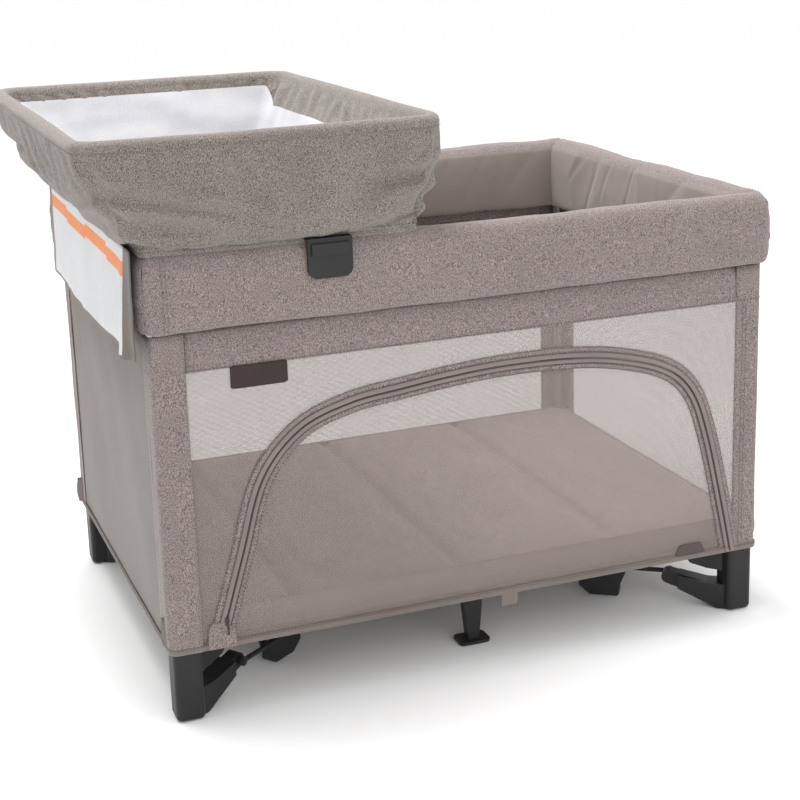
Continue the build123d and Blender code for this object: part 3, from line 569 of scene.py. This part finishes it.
def corner_plan(corner, k, out):
    """Plan point k of 21 round a corner, from one wall to the next, out from the walls' face."""
    sx, sy = CORNER_SIGNS[corner]
    radius = CORNER_R + out
    straight = 6
    arc = 9
    cx, cy = HALF_X - CORNER_R, HALF_Y - CORNER_R
    if k < straight:
        x, y = HALF_X - STRIP_W + (STRIP_W - CORNER_R) * k / straight, HALF_Y + out
    elif k < straight + arc:
        angle = math.pi / 2 * (k - straight) / (arc - 1)
        x, y = cx + radius * math.sin(angle), cy + radius * math.cos(angle)
    else:
        share = (k - straight - arc + 1) / straight
        x, y = HALF_X + out, HALF_Y - CORNER_R - (STRIP_W - CORNER_R) * share
    return Vector((sx * x, sy * y, 0))


CORNER_STEPS = 21


def make_corner_cloth(corner):
    """The opaque strip of cloth that wraps a leg from hem to rail."""
    seed = list(CORNER_SIGNS).index(corner) * 11

    def point(i, j):
        z = HEM_Z + (WALL_TOP - HEM_Z) * i / 40
        ripple = lumps(j * 0.25 + seed, z * 14, seed)
        spot = corner_plan(corner, j, 0.0009 * ripple + 0.0004)
        spot.z = z
        return spot

    made = grid(f"corner_cloth_{corner}", 41, CORNER_STEPS, point, [MELANGE])
    thicken(made, CLOTH_T)
    attach(made, f"leg_{corner}")
    return made


def make_corner_trim(corner):
    """The hem binding and the sewn edges round one corner."""
    sx, sy = CORNER_SIGNS[corner]

    def binding(i, j):
        angle = math.pi * 2 * i / 10
        spot = corner_plan(corner, j, 0.0012 + 0.0016 * math.cos(angle))
        spot.z = HEM_Z + HEM_H / 2 + HEM_H / 2 * math.sin(angle)
        return spot

    hem = grid(f"hem_{corner}", 10, CORNER_STEPS, binding, [BINDING], wrap_rows=True)
    attach(hem, f"leg_{corner}")
    for n, (j, z0, z1) in enumerate(((2, HEM_Z, HEADER_Z), (3, HEM_Z, HEADER_Z), (18, HEM_Z, HEADER_Z))):
        line = []
        for k in range(12):
            spot = corner_plan(corner, j, 0.0016)
            spot.z = z0 + 0.012 + (z1 - z0 - 0.012) * k / 11
            line.append(spot)
        direction = Vector((0, sy, 0)) if j < 10 else Vector((sx, 0, 0))
        sewn = stitches(f"corner_stitch_{corner}_{n}", line, lambda p: direction, THREAD)
        attach(sewn, f"leg_{corner}")
    centre = Vector((sx * (HALF_X - STRIP_W), sy * (HALF_Y - STRIP_W), 0))
    rows = (("header_stitch", HEADER_Z + 0.003, 0.0018), ("hem_stitch", HEM_Z + HEM_H - 0.002, 0.0032))
    for name, z, out in rows:
        line = [corner_plan(corner, j, out) + Vector((0, 0, z)) for j in range(CORNER_STEPS)]
        seam = stitches(f"{name}_{corner}", line, lambda p: Vector((p.x, p.y, 0)) - centre, THREAD_DARK_AND_SEAM_SHADE)
        attach(seam, f"leg_{corner}")


def wall_span(side):
    """Half the length between a side's two corner strips."""
    return side_halves(side)[0] - STRIP_W


def make_band(side):
    """The header band under a rail and the bound hem, between the corner strips."""
    span = wall_span(side)
    seed = {"front": 1, "right": 5, "back": 9, "left": 15}[side]
    header_z = RAIL_BOTTOM - HEADER_DEPTH[side]

    def header(i, j):
        a = -span + 2 * span * j / 120
        z = header_z + (WALL_TOP - header_z) * i / 12
        ripple = lumps(a * 22 + seed, z * 60, seed)
        slow = lumps(a * 8 + seed, z * 20, 2)
        tuck = -0.009 * (i / 12) ** 3
        near_end = math.exp(-((span - abs(a)) / 0.09) ** 2)
        pleat = lumps(a * 30 + z * 40 + seed, z * 12, 6) * near_end
        body = 0.0012 * ripple + 0.0016 * slow * math.sin(math.pi * i / 12) + 0.0022 * pleat
        return wall_point(side, a, z, 0.0008 + body + tuck)

    band = thicken(grid(f"header_{side}", 13, 121, header, [MELANGE]), CLOTH_T)

    def binding(i, j):
        a = -span + 2 * span * j / 100
        angle = 2 * math.pi * i / 10
        z = HEM_Z + HEM_H / 2 + HEM_H / 2 * math.sin(angle)
        return wall_point(side, a, z, 0.0012 + 0.0016 * math.cos(angle))

    hem = grid(f"hem_{side}", 10, 101, binding, [BINDING], wrap_rows=True)
    ride_and_fold(band, side)
    ride_and_fold(hem, side)
    rows = (("header_stitch", header_z + 0.003, 0.0030), ("hem_stitch", HEM_Z + HEM_H - 0.002, 0.0032))
    for name, z, out in rows:
        line = [wall_point(side, -span + 2 * span * k / 60, z, out) for k in range(61)]
        sewn = stitches(f"{name}_{side}", line, lambda p: outward(side), THREAD_DARK_AND_SEAM_SHADE)
        ride_and_fold(sewn, side)


def make_plain_wall(side, name, material, node):
    """One whole sheet between the corner strips, from hem to header band."""
    span = wall_span(side) + SHEET_LAP
    low = HEM_Z + SHEET_LAP
    high = RAIL_BOTTOM - HEADER_DEPTH[side] + SHEET_LAP
    opaque = material is TAUPE

    def point(i, j):
        a = -span + 2 * span * j / 72
        z = low + (high - low) * i / 48
        slow = lumps(a * 3.1, z * 3.4, 4)
        drape = lumps(a * 6.5 + z * 4, z * 1.6, 8)
        size = (0.0035, 0.0022) if opaque else (0.0015, 0.0008)
        edge = min(1.0, (span - abs(a)) / 0.06)
        return wall_point(side, a, z, -0.001 + edge * (size[0] * slow + size[1] * drape))

    made = grid(name, 49, 73, point, [material])
    thicken(made, LIGHT_CLOTH_T if opaque else MESH_T)
    ride_and_fold(made, side)
    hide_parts(node)
    return made


# ---------------------------------------------------------------- door and zip

ARCH = [
    (-0.444, 0.000), (-0.399, 0.145), (-0.361, 0.261), (-0.298, 0.331), (-0.215, 0.362), (-0.131, 0.373),
    (-0.046, 0.382), (0.042, 0.387), (0.150, 0.385), (0.241, 0.374), (0.335, 0.345), (0.387, 0.299),
    (0.417, 0.221), (0.446, 0.097), (0.466, 0.000),
]
ARCH_BASE = HEM_Z + 0.003
ARCH_STEPS = 200
TAPE_HALF = 0.0185
ARCH_LINE = curve_through([Vector((x, 0, z + ARCH_BASE)) for x, z in ARCH], ARCH_STEPS)
DOOR_AREA = sum((b.x - a.x) * ((a.z + b.z) / 2 - ARCH_BASE) for a, b in zip(ARCH_LINE, ARCH_LINE[1:]))


def arch_point(k, away, out=0.0):
    """A point beside the zip's line: away is outside the arch, in the plane of the wall."""
    behind = ARCH_LINE[max(k - 1, 0)]
    ahead = ARCH_LINE[min(k + 1, ARCH_STEPS - 1)]
    along = (ahead - behind).normalized()
    spot = ARCH_LINE[k] + Vector((-along.z, 0, along.x)) * away
    return wall_point("front", spot.x, max(spot.z, HEM_Z + 0.002), out)


def frame_hit(k):
    """Where a ray from the door's foot through the zip's line meets the mesh's outer edge."""
    centre = Vector((0.01, 0, ARCH_BASE))
    ray = arch_point(k, TAPE_HALF - SHEET_LAP) - centre
    ray.y = 0
    right, top = wall_span("front") + SHEET_LAP, HEADER_Z + SHEET_LAP
    left = -right
    sideways = [(edge - centre.x) / ray.x for edge in (left, right) if abs(ray.x) > 1e-6]
    reach = [share for share in sideways if share > 0]
    reach += [(top - centre.z) / ray.z] if ray.z > 1e-6 else []
    hit = centre + ray * min(reach)
    for corner in (Vector((left, 0, top)), Vector((right, 0, top))):
        if (hit - corner).length < 0.005:
            hit = corner
    return hit


def make_front_mesh():
    """The mesh between the zip and the frame of the front wall."""

    def point(i, j):
        near = arch_point(j, TAPE_HALF - SHEET_LAP)
        far = frame_hit(j)
        spot = near.lerp(far, i / 14)
        z = max(spot.z, HEM_Z + SHEET_LAP)
        slow = lumps(spot.x * 5, z * 5, 2)
        return wall_point("front", spot.x, z, -0.0008 + 0.001 * slow * math.sin(math.pi * i / 14))

    made = thicken(grid("front_mesh", 15, ARCH_STEPS, point, [MESH]), MESH_T)
    ride_and_fold(made, "front")
    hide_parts("front_wall")
    flat = (2 * (wall_span("front") + SHEET_LAP), HEADER_Z - HEM_Z)
    return made


def ride_door(obj):
    """A piece of the door swings with it."""
    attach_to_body(obj, "door")
    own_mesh(obj)
    return obj


def make_door_mesh():
    """The door's own mesh, from its hinge line at the hem up to the zip."""
    left, right = ARCH_LINE[0].x, ARCH_LINE[-1].x
    inset = TAPE_HALF - SHEET_LAP

    def point(i, j):
        top = arch_point(j, -inset)
        foot = left + inset + (right - left - 2 * inset) * j / (ARCH_STEPS - 1)
        spot = Vector((foot, 0, HEM_Z + 0.006)).lerp(Vector((top.x, 0, top.z)), i / 22)
        slow = lumps(spot.x * 4 + 9, spot.z * 6, 2)
        return wall_point("front", spot.x, spot.z, -0.0008 + 0.0016 * slow * math.sin(math.pi * i / 22))

    made = thicken(grid("door_mesh", 23, ARCH_STEPS, point, [MESH]), MESH_T)
    ride_door(made)
    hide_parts("door_panel")
    return made


TAPE_RELIEF = [(0.0006, 0.0004), (0.0022, 0.0030), (0.0048, 0.0036), (0.0078, 0.0030), (0.0088, 0.0012),
               (0.0130, 0.0010), (0.0170, 0.0012), (0.0185, 0.0004)]


def make_zip():
    """The zip: two tapes with raised lips, two rows of coil, and the stitching."""
    for name, sign in (("zip_tape_fixed", 1), ("zip_tape_door", -1)):
        made = grid(
            name, ARCH_STEPS, len(TAPE_RELIEF),
            lambda i, j: arch_point(i, sign * TAPE_RELIEF[j][0], TAPE_RELIEF[j][1]),
            [TAPE, MELANGE], lambda i, j: 0 if j < 4 else 1,
        )
        thicken(made, 0.0008)
        pieces = [made]
        for part, away, radius in (("coil", 0.0013, 0.0012), ("piping", 0.0086, 0.0008)):
            line = [arch_point(k, sign * away, 0.0022) for k in range(ARCH_STEPS)]
            pieces.append(tube_along(f"{name}_{part}", line, radius, COIL, 6))
        for n, (away, thread) in enumerate(((0.0105, THREAD_DARK_AND_SEAM_SHADE), (0.0172, THREAD_DARK_AND_SEAM_SHADE))):
            line = [arch_point(k, sign * away, 0.0018) for k in range(0, ARCH_STEPS, 2)]
            pieces.append(stitches(f"{name}_stitch_{n}", line, lambda p: Vector((0, -1, 0)), thread))
        for piece in pieces:
            (ride_door if sign < 0 else lambda o: ride_and_fold(o, "front"))(piece)
        if sign > 0:
            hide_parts("zip_track")
    garage = [(-0.022, 0.000), (0.024, 0.000), (0.022, 0.026), (0.010, 0.041), (-0.012, 0.043),
              (-0.020, 0.036)]
    make_tab("zip_garage", garage, ARCH_LINE[0].x + 0.004, HEM_Z + 0.001, MELANGE, 0.0052, "front")
    make_slider()


def make_slider():
    """The zip slider and its pull, parked under the garage tab."""
    base = ARCH_LINE[6]
    body = [Vector((base.x + dx, -HALF_Y - 0.0042, base.z + dz))
            for dx, dz in ((0, -0.006), (0.001, -0.003), (0.0015, 0.0), (0.001, 0.004), (0, 0.007))]
    made = tube_along("zip_slider_body", body, 0.0032, COIL, 10, flat=1.1)
    pull = [Vector((base.x + 0.002, -HALF_Y - 0.0075, base.z + 0.004 - 0.004 * k)) for k in range(7)]
    strap = tube_along("zip_slider_pull", pull, 0.0022, COIL, 8, flat=0.6)
    for piece in (made, strap):
        ride_and_fold(piece, "front")
    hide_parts("zip_slider")


def make_tab(name, outline, x, z, material, out, side):
    """A small flat tab with rounded edges, sewn on a wall."""
    centre = Vector((sum(p[0] for p in outline) / len(outline), 0, sum(p[1] for p in outline) / len(outline)))
    ring = []
    count = len(outline)
    for k, (px, pz) in enumerate(outline):
        before, after = Vector((*outline[k - 1], 0)), Vector((*outline[(k + 1) % count], 0))
        here = Vector((px, pz, 0))
        for share in (0.18, 0.06):
            ring.append(here.lerp(before, share))
        for share in (0.06, 0.18):
            ring.append(here.lerp(after, share))
    levels = ((1.0, 0.0), (1.0, 0.8), (0.96, 1.0), (0.55, 1.12), (0.0, 1.15))

    def point(i, j):
        grow, rise = levels[i]
        spot = Vector((ring[j].x, 0, ring[j].y)).lerp(centre, 1 - grow)
        return wall_point(side, x + spot.x, z + spot.z, 0.0005 + (out - 0.0005) * rise)

    made = grid(name, len(levels), len(ring), point, [material], wrap_columns=True)
    ride_and_fold(made, side)
    return made


def make_tags():
    """The blank tags and the loop on the front wall."""
    w, h = 0.0445, 0.0175
    tag = [(-w, -h), (w, -h), (w, h), (-w, h)]
    make_tab("front_tag", tag, -0.358, HEADER_Z - 0.0155, LEATHER, 0.0028, "front")
    loop = [(-0.015, -0.020), (0.013, -0.020), (0.015, 0.002), (-0.015, 0.002)]
    make_tab("hem_loop", loop, 0.048, HEM_Z, BINDING, 0.0012, "front")
    small = [(-0.029, 0.0), (0.029, 0.0), (0.020, 0.018), (-0.020, 0.018)]
    make_tab("small_tag", small, 0.388, HEM_Z + HEM_H - 0.001, TAG_GREY, 0.0028, "front")


# ---------------------------------------------------------------- floor and mattress

MAT_LOW, MAT_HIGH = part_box("mattress")
MAT_SEAMS = (-0.315, -0.030, 0.255)
MAT_CORNER_R = 0.045
MAT_EDGE_DROP = 0.006  # piped edge below the crown


def mattress_outline(steps):
    """A rounded plan outline of the mattress."""
    hx, hy, radius = MAT_HIGH.x, MAT_HIGH.y, MAT_CORNER_R
    points = []
    for cx, cy, start in ((1, 1, 0), (-1, 1, 90), (-1, -1, 180), (1, -1, 270)):
        for k in range(7):
            angle = math.radians(start + 90 * k / 6)
            points.append(Vector((cx * (hx - radius) + radius * math.cos(angle),
                                  cy * (hy - radius) + radius * math.sin(angle), 0)))
    return curve_through(points, steps, closed=True)


def mat_seam_depth(x):
    """0 away from the sewn channels and 1 at their middle."""
    return max(math.exp(-((x - s) / 0.0085) ** 2) for s in MAT_SEAMS)


def mat_top(x, y):
    """Height of the mattress top: crowned panels between sewn channels."""
    crown = 1.0
    for edge in (MAT_HIGH.x - abs(x), MAT_HIGH.y - abs(y)):
        crown *= 1 - math.exp(-max(edge, 0) / 0.02)
    puff = 1 - max(math.exp(-abs(x - s) / 0.03) for s in MAT_SEAMS)
    ripple = lumps(x * 9, y * 9, 3) * 0.6 + lumps(x * 30, y * 26, 6) * 0.2
    near = max(math.exp(-abs(x - s) / 0.02) for s in MAT_SEAMS)
    pucker = lumps(x * 20, y * 75, 9) * near
    relief = 0.004 * crown + 0.006 * puff * crown + 0.0016 * ripple * crown + 0.0018 * pucker
    return MAT_HIGH.z - MAT_EDGE_DROP + relief - 0.011 * mat_seam_depth(x)


def make_mattress():
    """The mattress: a crowned top, piped edge and straight border."""
    hx, hy = MAT_HIGH.x, MAT_HIGH.y
    columns, rows = 250, 90

    def top(i, j):
        x, y = -hx + 2 * hx * j / columns, -hy + 2 * hy * i / rows
        cx, cy = hx - MAT_CORNER_R, hy - MAT_CORNER_R
        dx, dy = max(abs(x) - cx, 0), max(abs(y) - cy, 0)
        far = math.hypot(dx, dy)
        if dx > 0 and dy > 0 and far > MAT_CORNER_R:
            x = math.copysign(cx + dx / far * MAT_CORNER_R, x)
            y = math.copysign(cy + dy / far * MAT_CORNER_R, y)
        return Vector((x, y, mat_top(x, y)))

    made = grid("mattress_top", rows + 1, columns + 1, top, [MAT])
    border = mattress_outline(220)

    def side(i, j):
        share = i / 8
        p = border[j]
        bulge = 0.0035 * math.sin(math.pi * share)
        edge = Vector((p.x, p.y, 0)).normalized() * bulge
        z = MAT_LOW.z + (MAT_HIGH.z - MAT_EDGE_DROP - MAT_LOW.z) * share
        return Vector((p.x + edge.x, p.y + edge.y, z))

    sides = grid("mattress_border", 9, len(border), side, [MAT], wrap_columns=True)
    piping = tube_along("mattress_piping", [p + Vector((0, 0, MAT_HIGH.z - MAT_EDGE_DROP)) for p in border],
                        0.0022, BINDING, 8, closed=True)
    for piece in (made, sides, piping):
        attach(piece, "mattress")
    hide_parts("mattress")
    for n, s in enumerate(MAT_SEAMS):
        line = []
        for k in range(61):
            y = -hy + 2 * hy * k / 60
            line.append(Vector((s, y + 0.01 * (1 - k / 30), mat_top(s, y) + 0.0006)))
        # The dark thread here is partly real thread colour and partly painted shade of the sewn channel.
        sewn = stitches(f"mattress_stitch_{n}", line, lambda p: Vector((0, 0, 1)), THREAD_DARK_AND_SEAM_SHADE)
        attach(sewn, "mattress")


def make_floor_cloth():
    """The woven floor, one quarter to each arm."""
    low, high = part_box("floor_panel")
    z = low.z
    for corner, (sx, sy) in CORNER_SIGNS.items():
        def point(i, j):
            x = sx * high.x * j / 24
            y = sy * high.y * i / 18
            cut = max(0.0, abs(x) / high.x + abs(y) / high.y - 1.86)
            x *= 1 - cut * 0.5
            y *= 1 - cut * 0.5
            sag = 0.0015 * lumps(x * 6, y * 6, 1)
            return Vector((x, y, z + sag + 0.0012))

        made = grid(f"floor_cloth_{corner}", 19, 25, point, [TAUPE])
        thicken(made, LIGHT_CLOTH_T)
        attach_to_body(made, f"arm_{corner}")
        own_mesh(made)
        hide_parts("floor_panel")


# ---------------------------------------------------------------- changing tub

SKIRT_LOW, SKIRT_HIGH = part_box("changer_skirt")
ROLL_R = 0.012
RIM_Z = SKIRT_HIGH.z - 0.018
RIM_INSET = 0.018  # rim's centre line inside the tub's widest box
RIM = (SKIRT_LOW.x + RIM_INSET, SKIRT_HIGH.x - RIM_INSET, SKIRT_HIGH.y - RIM_INSET, 0.036)
HEM = (-HALF_X - 0.005, -HALF_X + 0.422, HALF_Y + 0.005, 0.014)
TUB_FLOOR = (-HALF_X + 0.015, -HALF_X + 0.402, HALF_Y - 0.015, 0.030)
TUB_HEM_Z = SKIRT_LOW.z - 0.004
TUB_FLOOR_Z = RAIL_TOP + 0.027
QUARTER = 60  # steps in a quarter of the tub's loops: a corner, then a straight
CORNER_TURN = 12
CORNER_MIDDLE = CORNER_TURN // 2
LOOP_STEPS = 4 * QUARTER


def loop_point(box, k, grow=0.0):
    """Plan point k round a rounded rectangle (left, right, half depth, corner radius)."""
    left, right, half, radius = box
    left, right, half, radius = left - grow, right + grow, half + grow, max(radius + grow, 0.004)
    corner, n = divmod(k % LOOP_STEPS, QUARTER)
    corner = int(corner)
    centres = ((right - radius, half - radius), (left + radius, half - radius),
               (left + radius, -half + radius), (right - radius, -half + radius))
    cx, cy = centres[corner]
    if n <= CORNER_TURN:
        angle = math.radians(90 * corner + 90 * n / CORNER_TURN)
        return Vector((cx + radius * math.cos(angle), cy + radius * math.sin(angle), 0))
    nx, ny = centres[(corner + 1) % 4]
    angle = math.radians(90 * corner + 90)
    start = Vector((cx + radius * math.cos(angle), cy + radius * math.sin(angle), 0))
    finish = Vector((nx + radius * math.cos(angle), ny + radius * math.sin(angle), 0))
    return start.lerp(finish, (n - CORNER_TURN) / (QUARTER - CORNER_TURN))


def nearest_corner(k):
    """0 at the middle of the loop's straights and 1 at its corners."""
    n = k % QUARTER
    far = min(abs(n - CORNER_MIDDLE), QUARTER - abs(n - CORNER_MIDDLE)) / (QUARTER / 2)
    return max(0.0, 1 - far)


def loop_outward(k):
    """The tub's outward direction at step k of its loops."""
    ahead, behind = loop_point(RIM, k + 1), loop_point(RIM, k - 1)
    along = (ahead - behind).normalized()
    return Vector((along.y, -along.x, 0))


def skirt_point(v, k, lift=0.0):
    """The tub's outer cloth: v is 0 at the hem and 1 where it turns over the rim."""
    low = loop_point(HEM, k)
    high = loop_point(RIM, k, ROLL_R)
    corner = nearest_corner(k)
    spot = low.lerp(high, v)
    away = loop_outward(k)
    span = math.sin(math.pi * v)
    puff = 0.010 * span * (1 - corner ** 3)
    along = spot.x + spot.y * 1.3
    swag = lumps(along * 5 + v * 1.5, v * 2.2, 3)
    crease = 1 - abs(lumps(along * 9 - v * 2.5, v * 2.0, 9)) * 3
    gather = lumps(along * 34, v * 2.2, 5) * corner
    side_share = ((k - CORNER_MIDDLE) % QUARTER) / QUARTER
    inward = 2 * min(side_share, 1 - side_share)
    hang = math.sin(17 * (v + 0.42 * inward ** 1.3) + 4 * swag)
    drape = hang * (0.25 + v) * (1 - math.exp(-inward / 0.08)) * (1 - 0.45 * inward)
    push = puff + span * (0.010 * swag + 0.004 * max(crease, 0) + 0.0125 * drape) + 0.0022 * gather + lift
    spot += away * push
    sag = 0.004 * lumps(spot.x * 5, spot.y * 5, 7)
    spot.z = TUB_HEM_Z + sag * (1 - v) + (RIM_Z - TUB_HEM_Z) * v
    return spot


RIM_TURNS = [20, 45, 70, 95, 120, 145, 170]
BAND_ROWS = 10


def band_drop(k):
    """Depth of the grey band inside the rim: deep on the right side and narrow elsewhere."""
    return 0.014 + 0.036 * max(loop_outward(k).x, 0) ** 2


def rim_point(n, k):
    """The cloth over the rim tube, from its outer side over the top to its inner side."""
    angle = math.radians(RIM_TURNS[n])
    here = loop_point(RIM, k)
    wobble = 1.02 + 0.06 * lumps(here.x * 14, here.y * 14, n * 0.3)
    spot = loop_point(RIM, k, ROLL_R * wobble * math.cos(angle))
    slow = lumps(here.x * 4, here.y * 4, 12)
    spot.z = RIM_Z + ROLL_R * wobble * math.sin(angle) + 0.0014 * slow
    return spot


def liner_point(down, k):
    """The inner side of the tub: down is 0 at the rim and 1 at the padded floor."""
    top = loop_point(RIM, k, -ROLL_R)
    low = loop_point(TUB_FLOOR, k, -0.004)
    spot = top.lerp(low, 1 - max(0.0, 1 - down) ** 1.25)
    ripple = lumps(spot.x * 9, spot.y * 9, down * 3)
    crease = lumps(spot.x * 30 + spot.y * 9, spot.y * 30, down * 2 + 5)
    bulge = math.sin(math.pi * min(down * 1.3, 1))
    spot += loop_outward(k) * (bulge * (0.006 * ripple + 0.0042 * crease))
    spot.z = RIM_Z - 0.002 + (TUB_FLOOR_Z - RIM_Z + 0.002) * down
    return spot


def make_changer_cloth():
    """The tub's outer cloth: hem, flared sides, the turn over the rim and the band inside it."""
    rows = 34
    depth = RIM_Z - TUB_FLOOR_Z

    def point(i, j):
        if i <= rows:
            return skirt_point(i / rows, j)
        if i <= rows + len(RIM_TURNS):
            return rim_point(i - rows - 1, j)
        return liner_point(band_drop(j) / depth * (i - rows - len(RIM_TURNS)) / BAND_ROWS, j)

    made = grid("tub_cloth", rows + 1 + len(RIM_TURNS) + BAND_ROWS, LOOP_STEPS, point, [MELANGE_COOL],
                wrap_columns=True)
    held_rows = (0, 1, *range(rows - 1, rows + 9), rows + len(RIM_TURNS) + BAND_ROWS)
    held = [i * LOOP_STEPS + j for i in held_rows for j in range(LOOP_STEPS)]
    relax(made, held, slack=0.045, gravity=0.3, cap=0.014)
    smooth_more(made)
    thicken(made, 0.0015)
    attach(made, "changer")
    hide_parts("changer_skirt")
    hem_line = [skirt_point(0, k, 0.0005) for k in range(LOOP_STEPS)]
    hem = tube_along("tub_hem", hem_line, 0.0050, MELANGE_COOL, 8, closed=True, flat=0.4)
    attach(hem, "changer")
    centre = Vector(((HEM[0] + HEM[1]) / 2, 0, 0.8))
    for name, v, thread in (("tub_hem_stitch", 0.060, THREAD_DARK_AND_SEAM_SHADE), ("tub_rim_stitch", 0.965, THREAD)):
        line = [skirt_point(v, k, 0.0014) for k in range(LOOP_STEPS)]
        sewn = stitches(name, line, lambda p: p - centre, thread)
        attach(sewn, "changer")
    for n in range(4):
        for m, shift in enumerate((2, 3.2)):
            line = [skirt_point(v / 20, n * QUARTER + shift, 0.0014) for v in range(1, 20)]
            sewn = stitches(f"tub_corner_stitch_{n}_{m}", line, lambda p: p - centre, THREAD_DARK_AND_SEAM_SHADE)
            attach(sewn, "changer")


def make_liner():
    """The white lining below the rim's band, its corner seams, and the padded floor."""
    rows = 24

    def wall(i, k):
        start = band_drop(k) / (RIM_Z - TUB_FLOOR_Z) - 0.02
        return liner_point(start + (1 - start) * i / rows, k)

    def point(i, j):
        return wall(i, j) + loop_outward(j) * (-0.001)

    made = grid("tub_liner", rows + 1, LOOP_STEPS, point, [WHITE], wrap_columns=True)
    smooth_more(made)
    attach(made, "changer")
    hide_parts("changer_liner")
    left, right, half, _ = TUB_FLOOR

    def pad(i, j):
        x = left + 0.002 + (right - left - 0.004) * j / 60
        y = -half + 0.002 + (2 * half - 0.004) * i / 90
        edge = min(x - left, right - x, half - abs(y))
        crown = 1 - math.exp(-max(edge, 0) / 0.03)
        seam = max(math.exp(-((y - s) / 0.006) ** 2) for s in (-0.13, 0.13))
        ripple = lumps(x * 10, y * 10, 4)
        return Vector((x, y, TUB_FLOOR_Z - 0.004 + 0.014 * crown + 0.002 * ripple - 0.008 * seam * crown))

    floor = grid("tub_pad", 91, 61, pad, [WHITE])
    attach(floor, "changer")
    centre = Vector(((left + right) / 2, 0, 0.95))
    for n in range(4):
        line = [wall(i, n * QUARTER + CORNER_MIDDLE) for i in range(1, rows)]
        sewn = stitches(f"liner_seam_{n}", line, lambda p: centre - p, LABEL, thick=0.0009)
        attach(sewn, "changer")


def make_flap():
    """The blank cloth flap that hangs from the tub outside the left rail."""
    low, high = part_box("changer_flap")
    length, top, bottom = high.y - low.y, high.z + 0.006, low.z
    columns, rows = 120, 30

    def point(i, j):
        y = high.y - length * j / columns
        share = i / rows
        ripple = math.sin(j / columns * 4 * 2 * math.pi + 0.8)
        curl = 0.010 * share ** 2 * (1 - math.cos(j / columns * 2 * math.pi)) / 2
        flick = 0.017 * share * math.exp(-((columns - 9 - j) / 5) ** 2)
        fine = 0.0018 * lumps(y * 22, share * 4, 1)
        z = top + (bottom - top) * share + 0.003 * share * ripple
        return Vector((low.x - 0.0005 - curl - flick - share * (0.0022 * ripple + fine), y, z))

    def slot_of(i, j):
        if j < 4 or j >= columns - 7 or i >= rows - 1:
            return 0
        panel = int(j * 4 / columns)
        return 2 if 3 <= i - panel % 2 < 7 else 1

    made = grid("tub_flap", rows + 1, columns + 1, point, [TAUPE, LABEL, ORANGE], slot_of)
    thicken(made, 0.0014, 0.0)
    attach(made, "changer")
    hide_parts("changer_flap")


# ---------------------------------------------------------------- finish of the CAD nodes


def dress_frame():
    """Give every CAD node that shows its material, and soften the edges of the plastic ones."""
    looks = {"tube": TUBE, "dark_plastic": BLACK, "pin_steel": STEEL, "webbing": WEBBING, "zip": COIL}
    slots = {s["node"]: s["material_slot"] for s in frame["record"]["subparts"]}
    for name, node in frame["nodes"].items():
        look = looks.get(slots[name])
        if look is None:
            continue
        if name == "changer_frame":
            look = BLACK
        node.data.materials.clear()
        node.data.materials.append(look)
        if slots[name] == "dark_plastic":
            bevel = node.modifiers.new("edge", "BEVEL")
            bevel.width = 0.0012
            bevel.segments = 2
            bevel.limit_method = "ANGLE"
            bevel.harden_normals = False


# ---------------------------------------------------------------- light, floor and camera


def make_stage():
    """A plain pale floor and soft studio lights."""
    scene = bpy.context.scene
    white = bpy.data.materials.new("studio_floor")
    white.use_nodes = True
    white.node_tree.nodes["Principled BSDF"].inputs["Base Color"].default_value = (0.93, 0.93, 0.93, 1)
    white.node_tree.nodes["Principled BSDF"].inputs["Roughness"].default_value = 0.95
    size, drop = 30, -0.0008
    corners = [(-size, -size, drop), (size, -size, drop), (size, size, drop), (-size, size, drop)]
    floor = make_object("studio_floor", corners, [(0, 1, 2, 3)], [white], smooth=False)
    world = bpy.data.worlds.new("studio")
    scene.world = world
    world.use_nodes = True
    world.node_tree.nodes["Background"].inputs["Color"].default_value = (1, 1, 1, 1)
    world.node_tree.nodes["Background"].inputs["Strength"].default_value = 1.06
    for name, spot, target, power, width in (
        ("key", (-0.6, 0.4, 3.6), (0, 0, 0.3), 125, 1.8),
        ("fill", (0.6, -3.6, 1.8), (0, 0, 0.4), 24, 2.4),
    ):
        lamp = bpy.data.lights.new(name, "AREA")
        lamp.energy = power
        lamp.size = width
        holder = bpy.data.objects.new(name, lamp)
        holder.location = spot
        holder.rotation_euler = (Vector(target) - Vector(spot)).to_track_quat("-Z", "Y").to_euler()
        scene.collection.objects.link(holder)
    scene.view_settings.view_transform = "Standard"


def make_camera():
    """The main view, from the left of the door side."""
    camera = bpy.data.cameras.new("camera")
    camera.sensor_width = 36
    camera.lens = 73.5
    camera.shift_y = -0.1
    holder = bpy.data.objects.new("camera", camera)
    holder.location = (-0.985, -2.652, 1.2225)
    yaw, pitch, roll = -0.3593, -0.2498, -0.0312
    look = Matrix.Rotation(yaw, 3, "Z") @ Matrix.Rotation(math.pi / 2 + pitch, 3, "X")
    look = look @ Matrix.Rotation(roll, 3, "Z")
    holder.rotation_euler = look.to_euler()
    bpy.context.scene.collection.objects.link(holder)
    bpy.context.scene.camera = holder


# ---------------------------------------------------------------- build

for side_name in SIDES:
    make_rail_half(side_name, 0)
    make_rail_half(side_name, 1)
    make_band(side_name)
for corner_name in CORNER_SIGNS:
    make_corner_cloth(corner_name)
    make_corner_trim(corner_name)
    rail_corner_seam(corner_name)
make_plain_wall("right", "right_mesh", MESH, "right_wall")
make_plain_wall("back", "back_mesh", MESH, "back_wall")
make_plain_wall("left", "left_panel", TAUPE, "left_wall")
make_front_mesh()
make_door_mesh()
make_zip()
make_tags()
make_floor_cloth()
make_mattress()
make_changer_cloth()
make_liner()
make_flap()
dress_frame()
make_stage()
make_camera()
